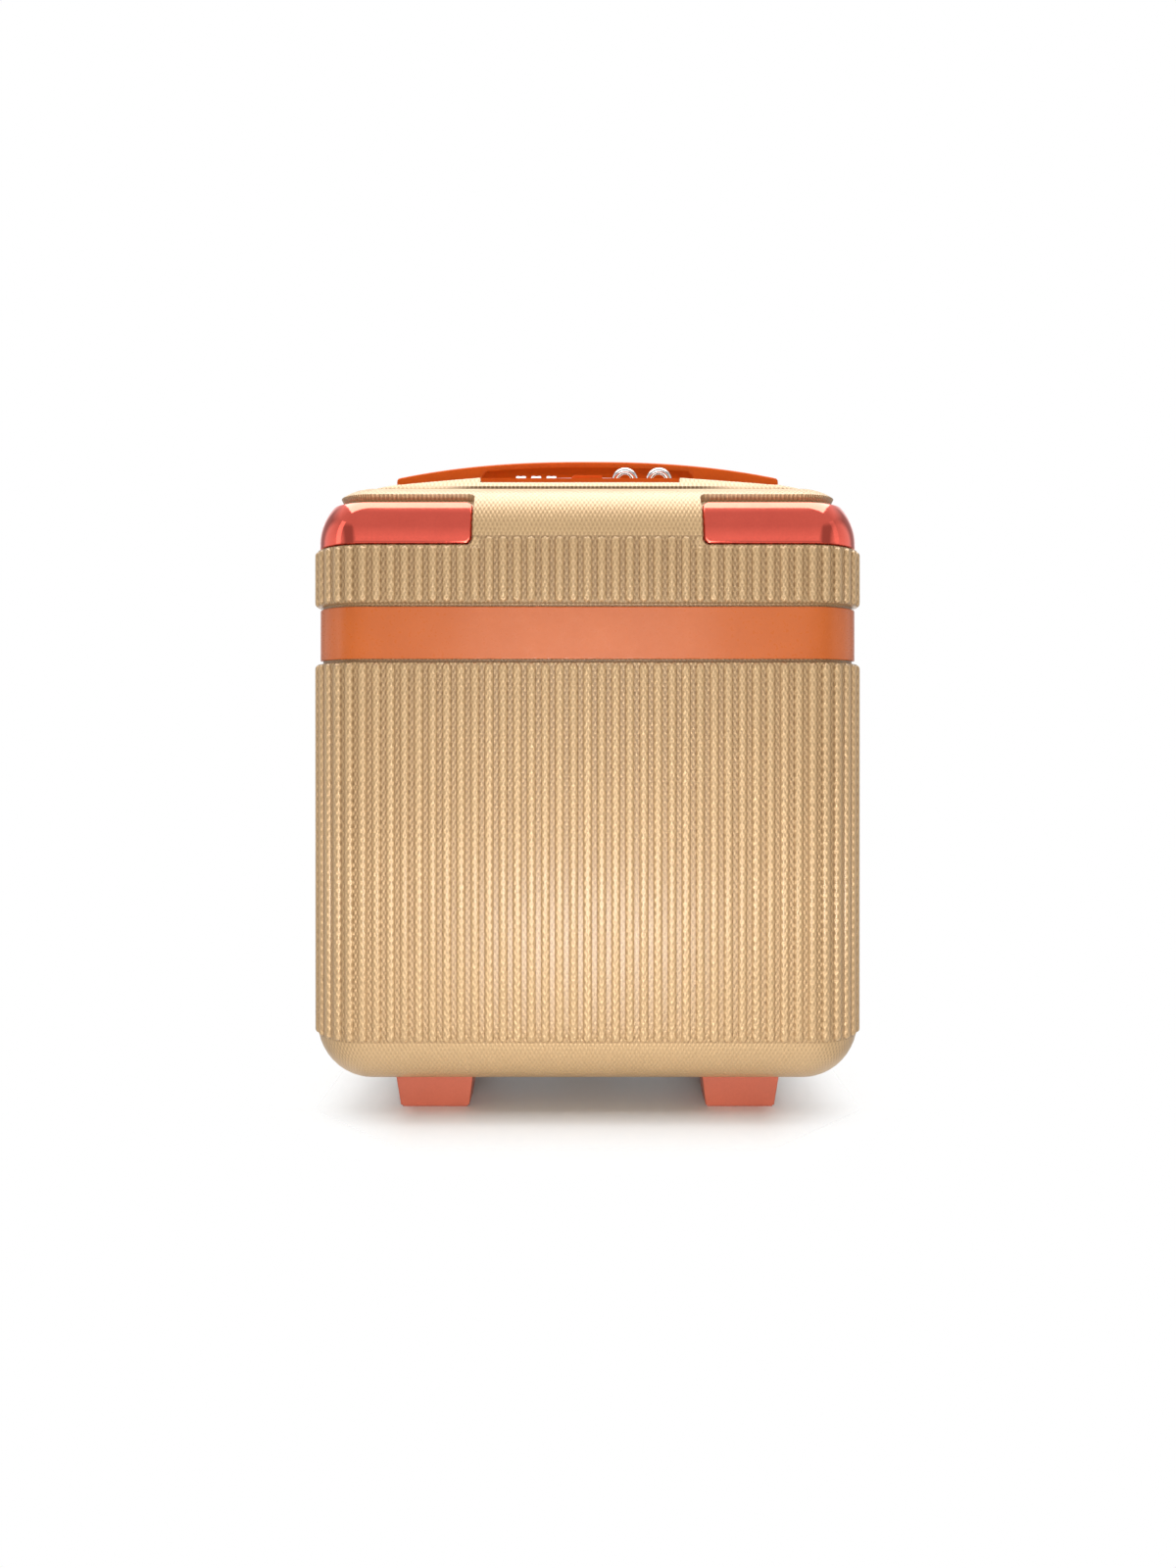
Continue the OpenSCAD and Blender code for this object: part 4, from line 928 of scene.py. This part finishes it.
def handle_section(x):
    """The handle cut across at x, as (y, z) points. The grip's lips follow its arch, and its underside is
    level."""
    away = min(abs(x), HANDLE_HALF)
    corner = HANDLE_HALF - END_ROUND
    top = handle_z(min(away, corner)) - END_ROUND + math.sqrt(END_ROUND ** 2 - max(away - corner, 0) ** 2)
    under = float(np.interp(away, UNDER_X, UNDER_Z))
    lip = min(top - LIP_DROP, under) if away > UNDER_X[0] else top - LIP_DROP
    rise = max(top - 2.7 - under, 0) if away < HOLLOW_HALF else 0.0
    half = [(HANDLE_MID, under), (16.5, under + 0.15 * rise), (10.6, under + 0.85 * rise),
            (9.5, min(under + rise, top - 2.6)), (7.4, lip), (6.6, lip + 0.08), (6.15, lip + 0.35),
            (6.0, lip + 0.8), (6.0, top - 1.4), (6.11, top - 0.86), (6.41, top - 0.41), (6.86, top - 0.11),
            (7.4, top), (13.0, top), (HANDLE_MID, top)]
    whole = np.array(half + [(2 * HANDLE_MID - y, z) for y, z in half[-2:0:-1]])
    inset = HANDLE_EDGE - math.sqrt(HANDLE_EDGE ** 2 - max(away - HANDLE_HALF + HANDLE_EDGE, 0) ** 2)
    whole[:, 0] = np.clip(whole[:, 0], HANDLE_Y[0] + inset, HANDLE_Y[1] - inset)
    whole[:, 1] = np.clip(whole[:, 1], min(lip, under) + inset, top - inset)
    return whole


def cut(piece, boxes):
    """Cuts boxes, given by their corners in millimetres, out of a piece."""
    tool = Shape()
    for low, high in boxes:
        tool.box(low, high)
    data = bpy.data.meshes.new("cutter")
    data.from_pydata((np.array(tool.verts) * MM).tolist(), [], tool.faces)
    cutter = place("cutter", data)
    modifier = piece.modifiers.new("cut", "BOOLEAN")
    modifier.operation = "DIFFERENCE"
    modifier.object = cutter
    modifier.solver = "EXACT"
    result = evaluated_mesh(piece)
    piece.modifiers.clear()
    piece.data = result
    bpy.data.objects.remove(cutter)


def strap_handle():
    half = np.concatenate([np.linspace(0, HOLLOW_HALF, 19), np.arange(55, 70, 0.5),
                           np.linspace(70, 113.5, 14),
                           HANDLE_HALF - HANDLE_EDGE + HANDLE_EDGE * np.sin(np.linspace(0, math.pi / 2, 6))])
    across = np.concatenate([-half[:0:-1], half])
    rows = np.array([np.insert(handle_section(x), 0, x, axis=1) for x in across])
    shape = Shape()
    shape.grid(rows, wrap=True)
    count = rows.shape[1]
    shape.faces.append(tuple(reversed(range(count))))
    shape.faces.append(tuple(len(shape.verts) - count + k for k in range(count)))
    piece = add("handle_strap_grip", shape, HANDLE, "handle_strap", "lock_orange", ["handle"], closed=True)
    cut(piece, [((side * BRACKET_X - POCKET_HALF, POCKET_Y[0], SEAT_TOP - 1),
                 (side * BRACKET_X + POCKET_HALF, POCKET_Y[1], POCKET_TOP)) for side in (-1, 1)])
    # Faces that look down get the matt underside finish, whose lighter colour is painted light
    piece.data.materials.append(LIGHTENED_UNDERSIDE)
    for face in piece.data.polygons:
        if face.normal.z < UNDER_NORMAL:
            face.material_index = len(piece.data.materials) - 1


# Lock and pulls

def dial(k, node_name):
    """Number dial with finger notches and generic digits."""
    shape = Shape()
    turns = np.linspace(0, 2 * math.pi, DIAL_POINTS, endpoint=False)
    notch = np.clip(np.cos(NOTCHES * turns) - NOTCH_FROM, 0, 1) * NOTCH_DEPTH
    side = DIAL_W / 2
    rim = side - DIAL_EDGE
    bore = DIAL_R - DIAL_BORE
    rows = []
    outline = [(-side, bore), (-side, DIAL_EDGE), (-rim, 0.0), (rim, 0.0), (side, DIAL_EDGE), (side, bore)]
    for x, inset in outline:
        radius = DIAL_R - inset - (notch if inset < 1 else 0)
        rows.append(np.stack([np.full(DIAL_POINTS, DIAL_X[k] + x), DIAL_Y + radius * np.cos(turns),
                              DIAL_Z + radius * np.sin(turns)], -1))
    shape.grid(np.array(rows), wrap=True, flip=True)
    add(f"{node_name}_wheel", shape, WHITE, f"dial_{k + 1}", "dial_white", [node_name])
    for value in range(10):
        digit(k, node_name, value)


def digit(k, node_name, value):
    """One digit, bent round its dial."""
    text = bpy.data.curves.new("digit", "FONT")
    text.body = str(value)
    text.size = DIGIT_H * MM
    text.align_x = "CENTER"
    text.align_y = "CENTER"
    text.extrude = DIGIT_LIFT * MM
    loose = place("digit", text)
    flat = evaluated_mesh(loose)
    turn = math.radians(DIGIT_TURN * (value + 0.5))
    work = bmesh.new()
    work.from_mesh(flat)
    for vert in work.verts:
        x, y, lift = vert.co
        around = turn + y / (DIAL_R * MM)
        radius = DIAL_R * MM + lift
        vert.co = Vector((DIAL_X[k] * MM + x, DIAL_Y * MM - radius * math.sin(around),
                          DIAL_Z * MM + radius * math.cos(around)))
    work.to_mesh(flat)
    work.free()
    piece = place(f"{node_name}_digit_{value}", flat)
    flat.materials.clear()
    flat.materials.append(INK)
    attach(piece, f"dial_{k + 1}")
    bpy.data.objects.remove(loose)


def zip_pull(k, node_name):
    """Cast pull: barrel, tongue with its end plate, and a broad finger ring with a lug in it. The ring leans
    to the front."""
    shape = Shape()
    x = SLIDER_X[k]
    sine, cosine = math.sin(RING_LEAN), math.cos(RING_LEAN)

    def leaning(across, forward, up):
        y = BAIL_Y - up * sine - forward * cosine
        z = BAIL_Z + up * cosine - forward * sine
        return np.stack([x + across, y, z], -1)

    turns = np.linspace(-math.pi / 2, 1.5 * math.pi, 64, endpoint=False)
    section = np.linspace(0, 2 * math.pi, 20, endpoint=False)
    deep = 1.5 + 0.7 * np.clip(np.sin(turns), 0, 1)
    across = np.cos(turns) * RING_R
    up = RING_UP + np.sin(turns) * RING_R + RING_STRETCH * (np.sin(turns) > 0)
    out = RING_T * np.cos(section)
    rows = []
    for at, turn in enumerate(turns):
        rows.append(leaning(across[at] + out * math.cos(turn), deep[at] * np.sin(section),
                            up[at] + out * math.sin(turn)))
    shape.grid(np.array(rows + rows[:1]), wrap=True)
    shape.tube([(x - BARREL_HALF, BAIL_Y, BAIL_Z), (x + BARREL_HALF, BAIL_Y, BAIL_Z)], 1.0, 20)
    lug = [(1.9, -0.6), (1.9, 5.2), (1.3, 6.4), (0.0, 6.9), (-1.3, 6.4), (-1.9, 5.2), (-1.9, -0.6)]
    shape.prism(lug, lambda u, w, t: leaning(u, t, w), 1.1, -0.9)
    low, high = TONGUE_Z
    tongue = [(1.0, -0.6), (1.0, 1.0), (TONGUE_BEND + 0.5, high), (TONGUE_END, high), (TONGUE_END, low),
              (TONGUE_BEND, low), (-1.0, -0.8)]
    shape.prism(tongue, lambda u, w, t: np.stack([x + t, BAIL_Y + u, BAIL_Z + w], -1), -TONGUE_HALF,
                TONGUE_HALF)
    shape.box((x - PLATE_HALF, BAIL_Y + TONGUE_END, BAIL_Z + low),
              (x + PLATE_HALF, BAIL_Y + TONGUE_BEND, BAIL_Z + high))
    add(node_name + "_casting", shape, CHROME, f"pull_{k + 1}", "key_chrome", [node_name], bevel=0.35,
        smooth=50, closed=True)


# The case

for rear in (False, True):
    for make in (shell, band, piping, zip_tape, zip_teeth, lining, feet):
        make(rear)
    for left in (False, True):
        guard(rear, left)
strap_handle()
for k, node_name in enumerate(("dial_left", "dial_middle", "dial_right")):
    dial(k, node_name)
for k, node_name in enumerate(("zip_pull_left", "zip_pull_right")):
    zip_pull(k, node_name)


def carry_over(node_name, finish, soften):
    """Gives a CAD piece its finish, and rounds its sharp edges a little."""
    piece = frame["nodes"][node_name]
    piece.data.materials.clear()
    piece.data.materials.append(finish)
    if soften:
        weld = piece.modifiers.new("weld", "WELD")
        weld.merge_threshold = WELD
        edge = piece.modifiers.new("edges", "BEVEL")
        edge.width = soften * MM
        edge.segments = 2
        edge.limit_method = "ANGLE"
        edge.angle_limit = math.radians(40)
        edge.harden_normals = True


# CAD pieces that are seen as they are, each with its finish and the radius of its edges
CARRIED = {
    "lock_plate": (LOCK, 0.35),
    "release_slider": (LOCK, 0.3),
    "lock_case": (BLACK, 0.0),
    "key_cylinder": (CHROME, 0.15),
    "latch_bar": (STEEL, 0.1),
    "dial_shaft": (STEEL, 0.0),
    "lock_screws": (STEEL, 0.1),
    "zip_slider_left": (CHROME, 0.2),
    "zip_slider_right": (CHROME, 0.2),
    "hinge_pins": (STEEL, 0.0),
    "handle_pins": (STEEL, 0.0),
    "bracket_plates": (STEEL, 0.0),
    "bracket_screws": (STEEL, 0.1),
    "handle_bracket_left": (BLACK, 0.3),
    "handle_bracket_right": (BLACK, 0.3),
}
for half in ("front", "rear"):
    CARRIED[half + "_hinge_leaves"] = (STEEL, 0.15)
    CARRIED[half + "_hinge_rivets"] = (STEEL, 0.15)
    CARRIED[half + "_guard_screws"] = (STEEL, 0.1)
    CARRIED[half + "_foot_screws"] = (STEEL, 0.1)
    CARRIED[half + "_zip_stops"] = (STEEL, 0.1)
for node_name, (finish, soften) in CARRIED.items():
    carry_over(node_name, finish, soften)


# Floor, light and camera

def lamp(name, at, to, size, energy):
    data = bpy.data.lights.new(name, "AREA")
    data.shape = "RECTANGLE"
    data.size, data.size_y = size
    data.energy = energy
    made = place(name, data)
    made.location = at
    made.rotation_mode = "QUATERNION"
    made.rotation_quaternion = (Vector(to) - Vector(at)).to_track_quat("-Z", "Y")


def floor():
    """White and plain, and clear away from the case, so that the half that swings down past it can be
    seen."""
    shape = Shape()
    marks = np.linspace(-FLOOR_HALF, FLOOR_HALF, 7)
    x, y = np.meshgrid(marks, marks)
    shape.grid(np.stack([x, y, np.zeros_like(x)], -1))
    data = bpy.data.meshes.new("floor")
    data.from_pydata((np.array(shape.verts) * MM).tolist(), [], shape.faces)
    piece = place("floor", data)
    made, tree, shader = material("floor_white", (0.86, 0.86, 0.86), 0.6)
    data.materials.append(made)
    spot = tree.nodes.new("ShaderNodeSeparateXYZ")
    tree.links.new(object_point(tree), spot.inputs[0])
    past_x, past_y = (outside(tree, spot.outputs[axis], -full, full) for axis, full in enumerate(FLOOR_FULL))
    away = total(tree, past_x, past_y)
    seen = tree.nodes.new("ShaderNodeLightPath").outputs["Is Camera Ray"]
    glow = span(tree, away, 0, GLOW_FADE, 0.0, 0.3)
    shader.inputs["Emission Color"].default_value = (1, 1, 1, 1)
    tree.links.new(product(tree, seen, glow), shader.inputs["Emission Strength"])
    mixer = tree.nodes.new("ShaderNodeMixShader")
    tree.links.new(maths(tree, "POWER", span(tree, away, 0, FLOOR_FADE, 1.0, 0.0), 1.4), mixer.inputs[0])
    tree.links.new(tree.nodes.new("ShaderNodeBsdfTransparent").outputs[0], mixer.inputs[1])
    tree.links.new(shader.outputs[0], mixer.inputs[2])
    tree.links.new(mixer.outputs[0], tree.nodes["Material Output"].inputs["Surface"])


def dim_walls(tree, way):
    """How much darker than white gloss sees the studio: a wall high up in front, one on each side, and one
    low down in front. way is the direction looked in."""
    ways = {axis: way.outputs[axis] for axis in "XYZ"}
    high = window(tree, ways["Z"], (0.17, 0.55), (0.9, 0.97))
    high = product(tree, high, span(tree, ways["Y"], 0.3, -0.1, 0.0, 0.28))
    sideways = maths(tree, "ABSOLUTE", ways["X"])
    aside = window(tree, sideways, (0.5, 0.62), (0.8, 0.9), 0.6)
    aside = product(tree, aside, span(tree, ways["Z"], 0.5, 0.7, 1.0, 0.0))
    ahead = window(tree, ways["Z"], (-0.4, -0.2), (0.1, 0.17))
    ahead = product(tree, ahead, span(tree, ways["Y"], -0.2, -0.6, 0.0, 0.35))
    return chain(tree, "MAXIMUM", high, aside, ahead)


def world():
    """Soft light, stronger from below. The camera, gloss and glass see a white background instead, in which
    gloss also sees dimmer walls."""
    made = bpy.data.worlds.new("studio")
    made.use_nodes = True
    bpy.context.scene.world = made
    tree = made.node_tree
    lit = tree.nodes["Background"]
    lit.inputs["Color"].default_value = (1, 1, 1, 1)
    way = tree.nodes.new("ShaderNodeSeparateXYZ")
    tree.links.new(tree.nodes.new("ShaderNodeTexCoord").outputs["Generated"], way.inputs[0])
    tree.links.new(span(tree, way.outputs["Z"], -0.3, 0.1, 0.95, 0.26), lit.inputs["Strength"])
    seen = node(tree, "ShaderNodeBackground", Color=(1, 1, 1, 1))
    path = tree.nodes.new("ShaderNodeLightPath")
    wall = product(tree, dim_walls(tree, way), path.outputs["Is Glossy Ray"])
    tree.links.new(maths(tree, "SUBTRACT", 1.0, wall), seen.inputs["Strength"])
    mixer = tree.nodes.new("ShaderNodeMixShader")
    looks = [path.outputs[kind] for kind in ("Is Camera Ray", "Is Glossy Ray", "Is Transmission Ray")]
    tree.links.new(chain(tree, "MAXIMUM", *looks), mixer.inputs[0])
    tree.links.new(lit.outputs[0], mixer.inputs[1])
    tree.links.new(seen.outputs[0], mixer.inputs[2])
    tree.links.new(mixer.outputs[0], tree.nodes["World Output"].inputs["Surface"])


def camera():
    data = bpy.data.cameras.new("camera")
    data.sensor_width = 36
    data.lens = CAMERA_LENS
    data.shift_x, data.shift_y = CAMERA_SHIFT
    data.clip_end = 50
    made = place("camera", data)
    made.location = CAMERA_AT
    made.rotation_euler = (math.pi / 2, 0, 0)
    bpy.context.scene.camera = made


floor()
world()
camera()
lamp("top_box", (0.0, 0.08, 1.1), (0.0, -0.02, 0.3), (1.4, 0.7), 14.2)
lamp("front_box", (0.0, -0.78, 0.21), (0.0, 0.0, 0.2), (0.3, 0.36), 1.2)
lamp("low_box", (0.0, -0.45, 0.03), (0.0, -0.08, 0.06), (0.18, 0.05), 1.1)
lamp("left_box", (-1.5, -0.5, 0.6), (0.0, 0.0, 0.2), (0.3, 1.4), 1.2)
lamp("right_box", (1.5, -0.5, 0.6), (0.0, 0.0, 0.2), (0.3, 1.4), 0.3)
lamp("back_box", (0.0, 1.5, 0.35), (0.0, 0.0, 0.17), (1.2, 0.6), 4)
bpy.context.scene.view_settings.view_transform = "Standard"
